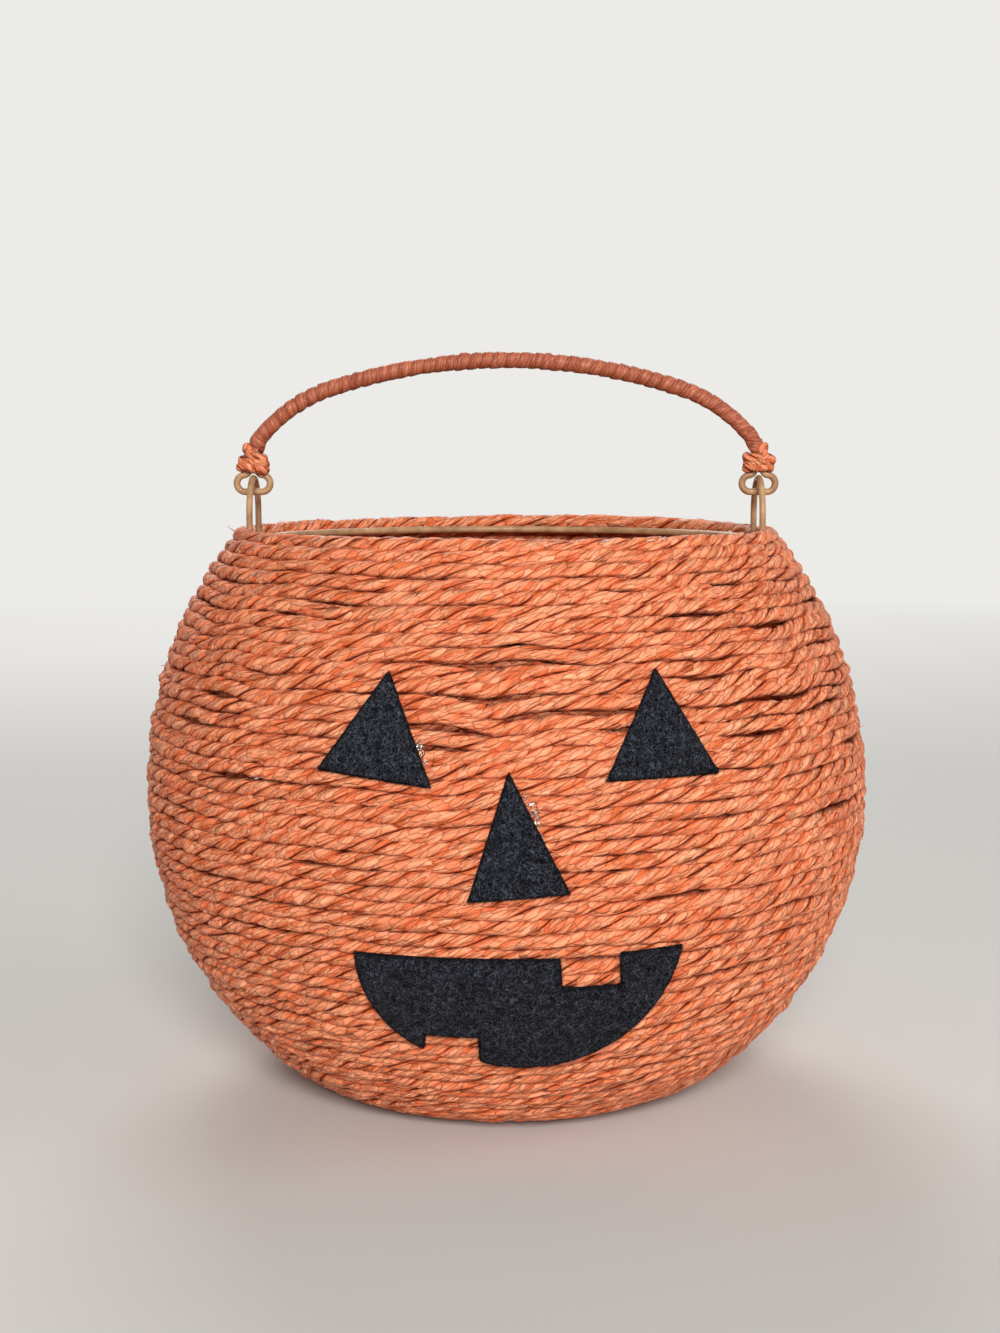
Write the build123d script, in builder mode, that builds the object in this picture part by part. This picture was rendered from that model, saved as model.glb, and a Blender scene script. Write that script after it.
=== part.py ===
"""Pumpkin candy pail: paper rope wound on a wire frame, a felt face and a bail handle on two wire lugs.

Millimetres, +Z up. The origin is on the floor under the middle of the base, and the face looks along -Y.
"""

from build123d import *

import os
from math import asin, atan2, cos, degrees, dist, pi, radians, sin, sqrt, tan

# The pail's outline, over the outside of the rope
belly_radius = 120.0
belly_height = 99.7
mouth_radius = 89.3
mouth_height = 185.6
base_radius = 47.0
corner_radius = 48.5

# Paper rope of the wall
rope_diameter = 3.9
rope_gap = 0.5
rope_end_gap = 0.1
foot_cut = 0.5
spiral_end_radius = 6.5
spiral_tuck = 2.5
seam_angle = 180.0
mouth_share = 0.5
belly_share = 0.3
lower_share = 0.35

# Painted wire frame
rim_wire = 2.4
rib_wire = 2.1
rib_count = 8
rib_foot = 2.0
base_ring_radius = 42.0
base_wire = 2.1
rope_clearance = 0.15
weld_gap = 0.1

# Lugs that carry the handle
lug_wire = 2.1
lug_spacing = 24.0
lug_tail = 2.0
hinge_lift = 4.5

# Handle wire, with an eye bent at each end
handle_wire_diameter = 2.3
handle_rise = 51.0
crown_radius = 186.0
neck_angle = 40.0
neck_bend_radius = 6.6
neck_gap = 0.5
eye_end_radius = 2.8
eye_end_offset = 2.75
flare_radius = 1.9
eye_clearance = 0.3

# Paper cord round the handle and round its necks
wrap_cord = 1.25
wrap_pitch = 4.0
wrap_clearance = 0.12
binding_cord = 1.8
binding_gap = 0.55
binding_turns = 2

# Felt face, with a film of glue behind each patch
felt_thickness = 1.5
glue_thickness = 0.5
glue_clearance = 0.06
glue_margin = 3.0
face_span = 90.0
face_centre = 3.7
eye_spread = 82.2
eye_level = 119.1
eye_width = 33.0
eye_height = 30.0
left_eye_tilt = -6.3
right_eye_tilt = 0.5
left_eye_apex_share = 0.527
right_eye_apex_share = 0.444
nose_level = 86.4
nose_width = 28.9
nose_height = 35.6
nose_tilt = 4.4
nose_apex_share = 0.493
smile_level = 69.2
smile_width = 94.6
smile_height = 36.7
smile_top_left_shares = (-0.5, -0.03)
smile_tooth_shares = ((0.125, -0.035), (0.131, -0.29), (0.313, -0.29), (0.308, -0.01))
smile_top_right_shares = (0.5, 0.01)
smile_right_shares = ((0.319, -0.763), (-0.118, -0.962))
smile_lower_tooth_shares = ((-0.123, -0.722), (-0.2875, -0.717), (-0.293, -0.856))
smile_left_share = (-0.4186, -0.597)

# How finely a winding is laid out
wall_steps = 2
cord_steps = 4
probe_share = 0.001
straight_share = 0.0001
samples_per_arc = 4

# Radii of the round stock
rope_radius = rope_diameter / 2
rim_wire_radius = rim_wire / 2
rib_wire_radius = rib_wire / 2
base_wire_radius = base_wire / 2
lug_wire_radius = lug_wire / 2
handle_wire_radius = handle_wire_diameter / 2

# The outline is three arcs, each tangent to the next, that end on the flat base
mouth_inset = belly_radius - mouth_radius
mouth_rise = mouth_height - belly_height
shoulder_radius = (mouth_inset**2 + mouth_rise**2) / (2 * mouth_inset)
shoulder_centre = belly_radius - shoulder_radius
corner_height = corner_radius - foot_cut
base_inset = belly_radius - base_radius
base_drop = belly_height - corner_height
lower_radius = (base_inset**2 + base_drop**2 - corner_radius**2) / (2 * (base_inset - corner_radius))
lower_centre = belly_radius - lower_radius
lower_angle = atan2(base_drop, lower_radius - base_inset)
lower_turn = degrees(lower_angle)

# The rope's middle follows the outline half a rope inside it
rope_pitch = rope_diameter + rope_gap
rope_shoulder = shoulder_radius - rope_radius
rope_lower = lower_radius - rope_radius
rope_corner = corner_radius - rope_radius
rope_top = mouth_height - rope_radius
rope_top_angle = asin((rope_top - belly_height) / rope_shoulder)
shoulder_turn = degrees(rope_top_angle)
turns_above = int(rope_shoulder * rope_top_angle / rope_pitch)
mouth_turns = int(mouth_share * turns_above)
shoulder_turns = turns_above - mouth_turns

# Below the belly the rope goes down the lower arc, round the corner and in along the flat
corner_start = rope_lower * lower_angle
flat_start = corner_start + rope_corner * (pi / 2 - lower_angle)
rope_below = flat_start + base_radius - spiral_end_radius - spiral_tuck
turns_below = int(rope_below / rope_pitch)
belly_turns = int(belly_share * turns_below)
lower_turns = int(lower_share * turns_below)
base_turns = turns_below - belly_turns - lower_turns

# The lug legs stand inside the top row, and the rim ring stands inside the legs
top_row_radius = shoulder_centre + rope_shoulder * cos(rope_top_angle)
lug_leg_place = top_row_radius - rope_radius - rope_clearance - lug_wire_radius
rim_place = lug_leg_place - lug_wire_radius - weld_gap - rim_wire_radius
rib_inset = rope_diameter + rope_clearance + rib_wire_radius
rim_inset = rib_inset + rib_wire_radius + weld_gap + rim_wire_radius
rim_height = belly_height + sqrt((shoulder_radius - rim_inset) ** 2 - (rim_place - shoulder_centre) ** 2)
rib_top = rim_height + rim_wire_radius
rib_foot_height = rib_inset - foot_cut
base_ring_height = rib_foot_height + rib_wire_radius + weld_gap + base_wire_radius

# The handle swings about the middle of the lugs' arches
lug_radius = lug_spacing / 2
lug_place = sqrt(lug_leg_place**2 - lug_radius**2)
hinge_height = mouth_height + hinge_lift
handle_top = hinge_height + handle_rise

# Each eye is an oval whose two ends flare up into a neck of two wires side by side
neck_half = (handle_wire_diameter + neck_gap) / 2
flare_offset = neck_half + flare_radius - eye_end_offset
flare_height = sqrt((flare_radius + eye_end_radius) ** 2 - flare_offset**2)
flare_tilt = degrees(atan2(flare_offset, flare_height))
lug_reach = flare_radius + handle_wire_radius + lug_wire_radius + eye_clearance
lug_in_eye = flare_height - sqrt(lug_reach**2 - (neck_half + flare_radius) ** 2)
eye_middle = hinge_height + lug_radius - lug_in_eye
neck_start = eye_middle + flare_height
binding_pitch = binding_cord + binding_gap
binding_start = neck_start + wrap_clearance + binding_cord / 2
binding_rise = binding_turns * binding_pitch
neck_top = binding_start + binding_rise + binding_cord / 2 + wrap_clearance

# The arch is a flat crown with a tighter haunch at each end, tangent to the bend above the neck
neck_lean = radians(neck_angle)
neck_place = lug_place - neck_half
haunch_foot_x = neck_place - neck_bend_radius * (1 - cos(neck_lean))
haunch_foot_z = neck_top + neck_bend_radius * sin(neck_lean)
crown_drop = haunch_foot_z - handle_top + crown_radius
haunch_reach = haunch_foot_x * cos(neck_lean) + crown_drop * sin(neck_lean) - crown_radius
haunch_radius = (haunch_foot_x**2 + crown_drop**2 - crown_radius**2) / (2 * haunch_reach)
haunch_x = haunch_foot_x - haunch_radius * cos(neck_lean)
haunch_z = haunch_foot_z - haunch_radius * sin(neck_lean)
crown_angle = degrees(atan2(haunch_x, haunch_z - handle_top + crown_radius))
haunch_angle = 90 - neck_angle - crown_angle

os.makedirs("parts", exist_ok=True)


def save(piece, name):
    """Label a finished piece and write it as its own file."""
    piece.part.label = name
    export_step(piece.part, f"parts/{name}.step")


def arc_by_corner(start, corner, stop):
    """The arc that leaves start towards corner and comes into stop from it."""
    middle = (start + stop) / 2
    half_chord = (stop - start).length / 2
    reach = (corner - middle).length
    if reach < straight_share * half_chord:
        return Line(start, stop)
    rise = half_chord * tan(atan2(reach, half_chord) / 2)
    return ThreePointArc(start, middle + (corner - middle) * (rise / reach), stop)


def biarc(start, start_way, stop, stop_way):
    """Two tangent arcs between two points that keep the direction of the line at each of them."""
    span = stop - start
    turn = 2 * (start_way.dot(stop_way) - 1)
    along = 2 * span.dot(start_way + stop_way)
    square = span.dot(span)
    if abs(turn) < straight_share:
        arm = square / along
    else:
        arm = (along - sqrt(along**2 - 4 * turn * square)) / (2 * turn)
    first_corner = start + start_way * arm
    last_corner = stop - stop_way * arm
    joint = (first_corner + last_corner) / 2
    return [arc_by_corner(start, first_corner, joint), arc_by_corner(joint, last_corner, stop)]


def wound_edges(point_at, turns, steps, lead, end_gap=0):
    """The edges of one unbroken line of biarcs along point_at(turn), with a straight lead at each end."""

    def way_at(turn):
        return (point_at(turn + probe_share) - point_at(turn - probe_share)) / (2 * probe_share)

    first = lead / way_at(0).length
    last = turns - lead / way_at(turns).length
    places = [first] + [index / steps for index in range(1, turns * steps)] + [last]
    points = [point_at(turn) for turn in places]
    ways = [way_at(turn).normalized() for turn in places]
    edges = [Line(points[0] - ways[0] * (lead - end_gap), points[0])]
    for index in range(len(points) - 1):
        edges.extend(biarc(points[index], ways[index], points[index + 1], ways[index + 1]))
    edges.append(Line(points[-1], points[-1] + ways[-1] * (lead - end_gap)))
    return edges


def least_gap(edges, steps, diameter):
    """The least clear distance between a winding and its own other turns, measured on points."""
    points = [tuple(edge @ (n / samples_per_arc)) for edge in edges for n in range(samples_per_arc)]
    half_turn = steps * samples_per_arc
    pairs = ((a, b) for n, a in enumerate(points) for b in points[n + half_turn :])
    return min(dist(a, b) for a, b in pairs) - diameter


def upright_plane(angle):
    """The plane through the pail's axis at an angle about it, with radius and height as its axes."""
    return Plane((0, 0, 0), (cos(angle), sin(angle), 0), (sin(angle), -cos(angle), 0))


def tube(path, diameter, stands=False):
    """A round tube swept along a path, cut flat at the floor where the pail stands on it."""
    with BuildPart() as piece:
        with BuildSketch(Plane(origin=path @ 0, z_dir=path % 0)):
            Circle(diameter / 2)
        sweep(path=path)
        if stands:
            split(bisect_by=Plane.XY, keep=Keep.TOP)
    return piece


def winding(name, edges, turns, steps, diameter, stands=False):
    """Write a winding, and print its length and its least gap to itself."""
    path = Wire(edges)
    gap = least_gap(edges, steps, diameter)
    print(f"{name}: {turns} turns, {path.length:.0f} mm long, least gap to itself {gap:.2f} mm")
    save(tube(path, diameter, stands), name)


def eased(share):
    """A step from 0 to 1 that starts and ends level."""
    return share**2 * (3 - 2 * share)


def rows_at(turn):
    """Rows laid after a turn count: each turn is level at the front and steps down a row at the back."""
    whole, part = divmod(turn, 1)
    return whole + eased(max(0, 2 * part - 1))


def wall_turn(section, first):
    """A point on the rope's middle, as a function of the turn, for a length that starts at a first turn."""

    def point_at(turn):
        radius, height = section(first + turn)
        angle = radians(seam_angle) + 2 * pi * turn
        return Vector(radius * cos(angle), radius * sin(angle), height)

    return point_at


def above_belly(turn):
    """Radius and height of the rope's middle, for turns counted from the mouth."""
    angle = rope_top_angle * (1 - rows_at(turn) / turns_above)
    return shoulder_centre + rope_shoulder * cos(angle), belly_height + rope_shoulder * sin(angle)


def below_belly(turn):
    """Radius and height of the rope's middle, for turns counted from the belly to the tucked end."""
    travel = rope_below * rows_at(turn) / turns_below
    if travel < corner_start:
        angle = travel / rope_lower
        return lower_centre + rope_lower * cos(angle), belly_height - rope_lower * sin(angle)
    if travel < flat_start:
        angle = lower_angle + (travel - corner_start) / rope_corner
        return base_radius + rope_corner * cos(angle), corner_height - rope_corner * sin(angle)
    tuck = spiral_tuck * eased(max(0, 1 - 2 * (turns_below - turn)))
    return base_radius - (travel - flat_start) - tuck, corner_height - rope_corner


# Rope wall: five lengths of rope that butt end to end at the seam
wall_lengths = {
    "mouth_winding": (above_belly, 0, mouth_turns),
    "shoulder_winding": (above_belly, mouth_turns, shoulder_turns),
    "belly_winding": (below_belly, 0, belly_turns),
    "lower_winding": (below_belly, belly_turns, lower_turns),
    "base_winding": (below_belly, belly_turns + lower_turns, base_turns),
}
for name, (section, first, turns) in wall_lengths.items():
    edges = wound_edges(wall_turn(section, first), turns, wall_steps, rope_diameter, rope_end_gap)
    winding(name, edges, turns, wall_steps, rope_diameter, stands=name == "base_winding")

# Rim ring, welded inside the ribs and the lug legs
with BuildPart() as rim_ring:
    with Locations((0, 0, rim_height)):
        Torus(rim_place, rim_wire_radius)
save(rim_ring, "rim_ring")

# Base ring, welded on top of the ribs' feet
with BuildPart() as base_ring:
    with Locations((0, 0, base_ring_height)):
        Torus(base_ring_radius, base_wire_radius)
save(base_ring, "base_ring")

# Ribs: each follows the inside of the rope from the rim ring to the base ring
rib_top_angle = degrees(asin((rib_top - belly_height) / (shoulder_radius - rib_inset)))
for index in range(rib_count):
    with BuildLine(upright_plane(2 * pi * (index + 1 / 2) / rib_count)) as rib_line:
        shoulder_middle = (shoulder_centre, belly_height)
        CenterArc(shoulder_middle, shoulder_radius - rib_inset, rib_top_angle, -rib_top_angle)
        CenterArc((lower_centre, belly_height), lower_radius - rib_inset, 0, -lower_turn)
        CenterArc((base_radius, corner_height), corner_radius - rib_inset, -lower_turn, lower_turn - 90)
        Line((base_radius, rib_foot_height), (base_ring_radius - rib_foot, rib_foot_height))
    save(tube(rib_line.wire(), rib_wire), f"rib_{index + 1}")

# Base cross: one wire under the base ring, and one across it that butts inside the ring
with BuildPart() as base_cross_lower:
    with Locations((0, 0, rib_foot_height)):
        Cylinder(base_wire_radius, 2 * (base_ring_radius + rib_foot), rotation=(0, 90, 0))
save(base_cross_lower, "base_cross_lower")

upper_reach = base_ring_radius - base_wire_radius - weld_gap
with BuildPart() as base_cross_upper:
    with Locations((0, 0, base_ring_height)):
        Cylinder(base_wire_radius, 2 * upper_reach, rotation=(90, 0, 0))
save(base_cross_upper, "base_cross_upper")

# Lugs: hairpins of wire that stand on the rim ring, with the handle's eye round the arch
lug_foot = rim_height - rim_wire_radius - lug_tail
for side, name in ((-1, "left_lug"), (1, "right_lug")):
    with BuildLine(Plane((side * lug_place, 0, 0), (0, 1, 0), (1, 0, 0))) as lug_line:
        Line((-lug_radius, lug_foot), (-lug_radius, hinge_height))
        CenterArc((0, hinge_height), lug_radius, 180, -180)
        Line((lug_radius, hinge_height), (lug_radius, lug_foot))
    save(tube(lug_line.wire(), lug_wire), name)

# Handle wire: the arch, then at each end a neck, an eye and the wire's straight tail beside the neck
with BuildLine(Plane.XZ) as handle_line:
    crown = CenterArc((0, handle_top - crown_radius), crown_radius, 90, -crown_angle)
    haunch = JernArc(crown @ 1, crown % 1, haunch_radius, -haunch_angle)
    lean = JernArc(haunch @ 1, haunch % 1, neck_bend_radius, -neck_angle)
    neck = Line(lean @ 1, (neck_place, neck_start))
    flare = JernArc(neck @ 1, neck % 1, flare_radius, flare_tilt - 90)
    near_end = JernArc(flare @ 1, flare % 1, eye_end_radius, 180 - flare_tilt)
    sole = Line(near_end @ 1, (lug_place + eye_end_offset, eye_middle - eye_end_radius))
    far_end = JernArc(sole @ 1, sole % 1, eye_end_radius, 180 - flare_tilt)
    tail_flare = JernArc(far_end @ 1, far_end % 1, flare_radius, flare_tilt - 90)
    Line(tail_flare @ 1, (lug_place + neck_half, neck_top))
    mirror(about=Plane.YZ)
save(tube(handle_line.wire(), handle_wire_diameter), "handle_wire")

# A binding goes round both wires of a neck, in turns with two straight sides
binding_reach = handle_wire_radius + wrap_clearance + binding_cord / 2


def binding_turn(side):
    """A point on a neck's binding, as a function of the turn: side, round, side and round again."""

    def point_at(turn):
        half, along = divmod(2 * turn, 1)
        flip = 1 - 2 * (half % 2)
        straight = min(2 * along, 1)
        angle = pi * max(2 * along - 1, 0)
        across = (2 * straight - 1) * neck_half + binding_reach * sin(angle)
        depth = -binding_reach * cos(angle)
        height = binding_start + binding_pitch * turn
        return Vector(side * (lug_place + flip * across), flip * depth, height)

    return point_at


# Paper cord wound along each half of the handle, from its binding to the crown
lean_length = neck_lean * neck_bend_radius
haunch_length = radians(haunch_angle) * haunch_radius
arch_length = lean_length + haunch_length + radians(crown_angle) * crown_radius
wrap_start = wrap_clearance + wrap_cord / 2
wrap_length = arch_length - wrap_start - wrap_pitch / 2
wrap_turns = int(wrap_length / wrap_pitch)
wrap_reach = handle_wire_radius + wrap_clearance + wrap_cord / 2


def arch_place(travel):
    """Point on the handle's arch and the way out from its centre, after travel from the neck."""
    if travel < lean_length:
        middle, radius = (neck_place - neck_bend_radius, neck_top), neck_bend_radius
        angle = travel / neck_bend_radius
    elif travel < lean_length + haunch_length:
        middle, radius = (haunch_x, haunch_z), haunch_radius
        angle = neck_lean + (travel - lean_length) / haunch_radius
    else:
        middle, radius = (0, handle_top - crown_radius), crown_radius
        angle = pi / 2 - (arch_length - travel) / crown_radius
    out = Vector(cos(angle), 0, sin(angle))
    return Vector(middle[0], 0, middle[1]) + out * radius, out


def wrap_turn(side):
    """A point on the handle's wrapping, as a function of the turn."""

    def point_at(turn):
        middle, out = arch_place(wrap_start + wrap_length * turn / wrap_turns)
        angle = 2 * pi * turn
        place = middle + out * (wrap_reach * cos(angle)) + Vector(0, wrap_reach * sin(angle), 0)
        return Vector(side * place.X, place.Y, place.Z)

    return point_at


for side, end in ((-1, "left"), (1, "right")):
    edges = wound_edges(wrap_turn(side), wrap_turns, cord_steps, wrap_cord)
    winding(f"handle_wrap_{end}", edges, wrap_turns, cord_steps, wrap_cord)
    edges = wound_edges(binding_turn(side), binding_turns, cord_steps, binding_cord)
    winding(f"{end}_binding", edges, binding_turns, cord_steps, binding_cord)


def triangle(middle, level, width, height, tilt, apex_share):
    """Corners of a tilted triangle of felt, seen from the front."""
    across = Vector(cos(radians(tilt)), sin(radians(tilt)))
    up = Vector(-sin(radians(tilt)), cos(radians(tilt)))
    left = Vector(middle, level) - across * (width / 2)
    return left, left + across * width, left + across * (width * apex_share) + up * height


def smile_point(shares):
    """A corner of the mouth, from its shares of the mouth's width and height."""
    return face_centre + shares[0] * smile_width, smile_level + shares[1] * smile_height


def face_patch(outline, inner, outer):
    """A patch that follows the wall between two distances outside the rope, cut to an outline."""
    upper = (shoulder_centre, belly_height)
    lower = (lower_centre, belly_height)
    with BuildPart() as patch:
        with BuildSketch(upright_plane(radians(-90 - face_span / 2))):
            with BuildLine():
                inner_top = CenterArc(upper, shoulder_radius + inner, 0, shoulder_turn)
                outer_top = CenterArc(upper, shoulder_radius + outer, 0, shoulder_turn)
                inner_low = CenterArc(lower, lower_radius + inner, 0, -lower_turn)
                outer_low = CenterArc(lower, lower_radius + outer, 0, -lower_turn)
                Line(inner_top @ 1, outer_top @ 1)
                Line(inner_low @ 1, outer_low @ 1)
            make_face()
        revolve(axis=Axis.Z, revolution_arc=face_span)
        extrude(outline.sketch, amount=2 * belly_radius, mode=Mode.INTERSECT)
    return patch


# Outlines of the felt face, seen from the front
left_eye = face_centre - eye_spread / 2
right_eye = face_centre + eye_spread / 2
face_corners = {
    "left_eye": triangle(left_eye, eye_level, eye_width, eye_height, left_eye_tilt, left_eye_apex_share),
    "right_eye": triangle(right_eye, eye_level, eye_width, eye_height, right_eye_tilt, right_eye_apex_share),
    "nose": triangle(face_centre, nose_level, nose_width, nose_height, nose_tilt, nose_apex_share),
}
face_outlines = {}
for name, corners in face_corners.items():
    with BuildSketch(Plane.XZ) as outline:
        with BuildLine():
            Polyline(*corners, close=True)
        make_face()
    face_outlines[name] = outline

with BuildSketch(Plane.XZ) as smile:
    with BuildLine():
        left_corner = smile_point(smile_top_left_shares)
        right_corner = smile_point(smile_top_right_shares)
        lip_right, lip_end = [smile_point(shares) for shares in smile_right_shares]
        lower_tooth = [smile_point(shares) for shares in smile_lower_tooth_shares]
        Polyline(left_corner, *[smile_point(shares) for shares in smile_tooth_shares], right_corner)
        ThreePointArc(right_corner, lip_right, lip_end)
        Polyline(lip_end, *lower_tooth)
        ThreePointArc(lower_tooth[-1], smile_point(smile_left_share), left_corner)
    make_face()
face_outlines["mouth"] = smile

# Each patch of felt lies on the rope over a film of glue that stops short of its edge
for name, outline in face_outlines.items():
    save(face_patch(outline, glue_thickness, glue_thickness + felt_thickness), f"{name}_felt")
    with BuildSketch(Plane.XZ) as film:
        add(outline.sketch_local)
        offset(amount=-glue_margin, mode=Mode.REPLACE)
    save(face_patch(film, glue_clearance, glue_thickness - glue_clearance), f"{name}_glue")
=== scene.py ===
# %% [markdown]
# # A pumpkin pail of wound paper rope
#
# The real pail is one long twisted paper rope, laid round and round on a wire frame from the mouth
# down to the middle of the base. A felt face is glued on the front, and a paper-wrapped wire handle
# hangs in two wire lugs. The frame loaded here is the finished mechanical model, in metres. Each cell
# below dresses one of its pieces in the place where it already stands.

from math import atan2, asin, cos, hypot, pi, radians, sin, sqrt

import bmesh
import bpy
import numpy as np
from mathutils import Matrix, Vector
from mathutils.geometry import delaunay_2d_cdt


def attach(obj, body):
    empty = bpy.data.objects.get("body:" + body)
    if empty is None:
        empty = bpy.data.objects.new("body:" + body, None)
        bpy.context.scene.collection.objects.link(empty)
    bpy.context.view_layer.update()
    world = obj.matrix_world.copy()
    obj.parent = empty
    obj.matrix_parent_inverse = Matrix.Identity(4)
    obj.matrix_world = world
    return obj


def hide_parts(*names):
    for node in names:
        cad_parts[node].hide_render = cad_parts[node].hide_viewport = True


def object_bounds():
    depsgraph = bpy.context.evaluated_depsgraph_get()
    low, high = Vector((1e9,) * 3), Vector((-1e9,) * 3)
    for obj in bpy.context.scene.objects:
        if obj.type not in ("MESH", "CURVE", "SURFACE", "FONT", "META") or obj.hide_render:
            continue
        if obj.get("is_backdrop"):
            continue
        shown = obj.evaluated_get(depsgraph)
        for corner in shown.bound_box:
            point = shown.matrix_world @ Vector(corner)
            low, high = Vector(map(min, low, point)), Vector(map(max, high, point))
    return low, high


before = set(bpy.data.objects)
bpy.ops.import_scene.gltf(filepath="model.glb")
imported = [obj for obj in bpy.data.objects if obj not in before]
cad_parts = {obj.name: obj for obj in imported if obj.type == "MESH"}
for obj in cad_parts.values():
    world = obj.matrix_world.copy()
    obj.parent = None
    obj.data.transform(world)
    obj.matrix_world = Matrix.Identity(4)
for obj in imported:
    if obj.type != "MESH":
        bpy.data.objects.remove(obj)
cad_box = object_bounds()
scene = bpy.context.scene
scene.view_settings.view_transform = "Standard"
mm = 0.001

# %% [markdown]
# ## The camera
#
# The photograph was taken from close by, a little above the rim and looking slightly down. The
# distance and the lens matter more than the framing: a closer camera shows less of the mouth and a
# rounder belly. The values come from fitting the outline of the pail and the corners of its face.

# %% Camera
camera_distance = 671 * mm
camera_height = 212 * mm
camera_pitch = radians(6.23)
camera_yaw = radians(0.17)
camera_lens = 54.0

camera_data = bpy.data.cameras.new("photo_camera")
camera_data.lens = camera_lens
camera = bpy.data.objects.new("photo_camera", camera_data)
camera.location = (0, -camera_distance, camera_height)
camera.rotation_euler = (pi / 2 - camera_pitch, 0, camera_yaw)
scene.collection.objects.link(camera)
scene.camera = camera
print(f"camera: {camera_lens:.0f} mm lens, {camera_distance / mm:.0f} mm from the pail's axis")

# %% [markdown]
# ## Small helpers for node trees
#
# Shader trees and geometry trees are built the same way: add a node, set its options, then fill or
# link its inputs. One helper does all three, so that a tree below reads as a list of what it does.

# %% Node helpers
def place(tree, kind, inputs=(), **settings):
    """Add a node, give it its settings, then fill or link its inputs by name or number."""
    node = tree.nodes.new(kind)
    for name, value in settings.items():
        setattr(node, name, value)
    for key, value in dict(inputs).items():
        if isinstance(value, bpy.types.NodeSocket):
            tree.links.new(value, node.inputs[key])
        else:
            node.inputs[key].default_value = value
    return node


def sums(tree, operation, *values):
    """One step of arithmetic on numbers or sockets."""
    return place(tree, "ShaderNodeMath", enumerate(values), operation=operation).outputs[0]


def scaled(tree, vector, factors):
    """A vector socket times a factor for each axis."""
    return place(tree, "ShaderNodeVectorMath", {0: vector, 1: factors}, operation="MULTIPLY").outputs[0]


def noise(tree, vector, detail=2.0, roughness=0.5, distortion=0.0):
    """Noise on coordinates that are already scaled to one feature per unit."""
    inputs = {"Vector": vector, "Scale": 1.0, "Detail": detail}
    inputs.update({"Roughness": roughness, "Distortion": distortion})
    return place(tree, "ShaderNodeTexNoise", inputs).outputs[0]


def span(tree, value, low, high, start=0.0, stop=1.0):
    """Map a value from low..high to start..stop, held at the ends."""
    inputs = {0: value, 1: low, 2: high, 3: start, 4: stop}
    return place(tree, "ShaderNodeMapRange", inputs).outputs[0]


def mixed(tree, factor, first, second):
    """Blend two colours."""
    inputs = {0: factor, 6: first, 7: second}
    return place(tree, "ShaderNodeMix", inputs, data_type="RGBA").outputs[2]


# %% Groups, materials and colours
def new_group(kind, name, inputs, outputs):
    """An empty node group with named sockets, its inner inputs and its inner outputs."""
    tree = bpy.data.node_groups.new(name, kind)
    for title, (socket, value) in inputs.items():
        made = tree.interface.new_socket(title, in_out="INPUT", socket_type="NodeSocket" + socket)
        if value is not None:
            made.default_value = value
    for title, socket in outputs.items():
        tree.interface.new_socket(title, in_out="OUTPUT", socket_type="NodeSocket" + socket)
    return tree, tree.nodes.new("NodeGroupInput").outputs, tree.nodes.new("NodeGroupOutput").inputs


def new_material(name, constants):
    """A material with a Principled shader whose plain sockets are set directly."""
    material = bpy.data.materials.new(name)
    material.use_nodes = True
    shader = material.node_tree.nodes["Principled BSDF"]
    for title, value in constants.items():
        shader.inputs[title].default_value = value
    return material, material.node_tree, shader.inputs


def colour(red, green, blue):
    """A screen colour, each channel from 0 to 255, as the linear colour that a shader takes."""
    channels = [c / 255 for c in (red, green, blue)]
    return tuple(c / 12.92 if c < 0.04045 else ((c + 0.055) / 1.055) ** 2.4 for c in channels) + (1,)


print(f"middle grey, 128 on a screen, is {colour(128, 128, 128)[0]:.3f} in a shader")

# %% [markdown]
# ## The studio
#
# The pail stands on a plain pale floor. Far from the pail the floor fades into the sky's own colour, so
# that no horizon cuts the picture from any side. The sky is brighter to the camera than it is as a lamp,
# so the paper keeps its colour.

# %% Sky
sky_colour = colour(236, 235, 232)
sky_light = 0.2


def seen_directly(tree):
    """1 for rays that show the background: from the camera, in a gloss or through glass."""
    rays = place(tree, "ShaderNodeLightPath").outputs
    shown = sums(tree, "MAXIMUM", rays["Is Camera Ray"], rays["Is Glossy Ray"])
    return sums(tree, "MAXIMUM", shown, rays["Is Transmission Ray"])


world = bpy.data.worlds.new("studio_sky")
scene.world = world
world.use_nodes = True
background = world.node_tree.nodes["Background"].inputs
background["Color"].default_value = sky_colour
brightness = span(world.node_tree, seen_directly(world.node_tree), 0, 1, sky_light, 1.0)
world.node_tree.links.new(brightness, background["Strength"])
print(f"sky: lights the pail at {sky_light} of what it shows")

# %% Floor
floor_colour = colour(214, 212, 208)
floor_size = 8.0
fade_start = 0.7
fade_stop = 2.2

floor_material, tree, shader = new_material("floor_paint", {"Roughness": 0.9, "Specular IOR Level": 0.1})
shader["Base Color"].default_value = floor_colour
position = place(tree, "ShaderNodeTexCoord").outputs["Object"]
distance = place(tree, "ShaderNodeVectorMath", {0: position}, operation="LENGTH").outputs["Value"]
fade = sums(tree, "MULTIPLY", span(tree, distance, fade_start, fade_stop), seen_directly(tree))
glow = place(tree, "ShaderNodeEmission", {"Color": sky_colour, "Strength": 1.0}).outputs[0]
painted = tree.nodes["Principled BSDF"].outputs[0]
finish = place(tree, "ShaderNodeMixShader", {0: fade, 1: painted, 2: glow}).outputs[0]
tree.links.new(finish, tree.nodes["Material Output"].inputs["Surface"])

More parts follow.
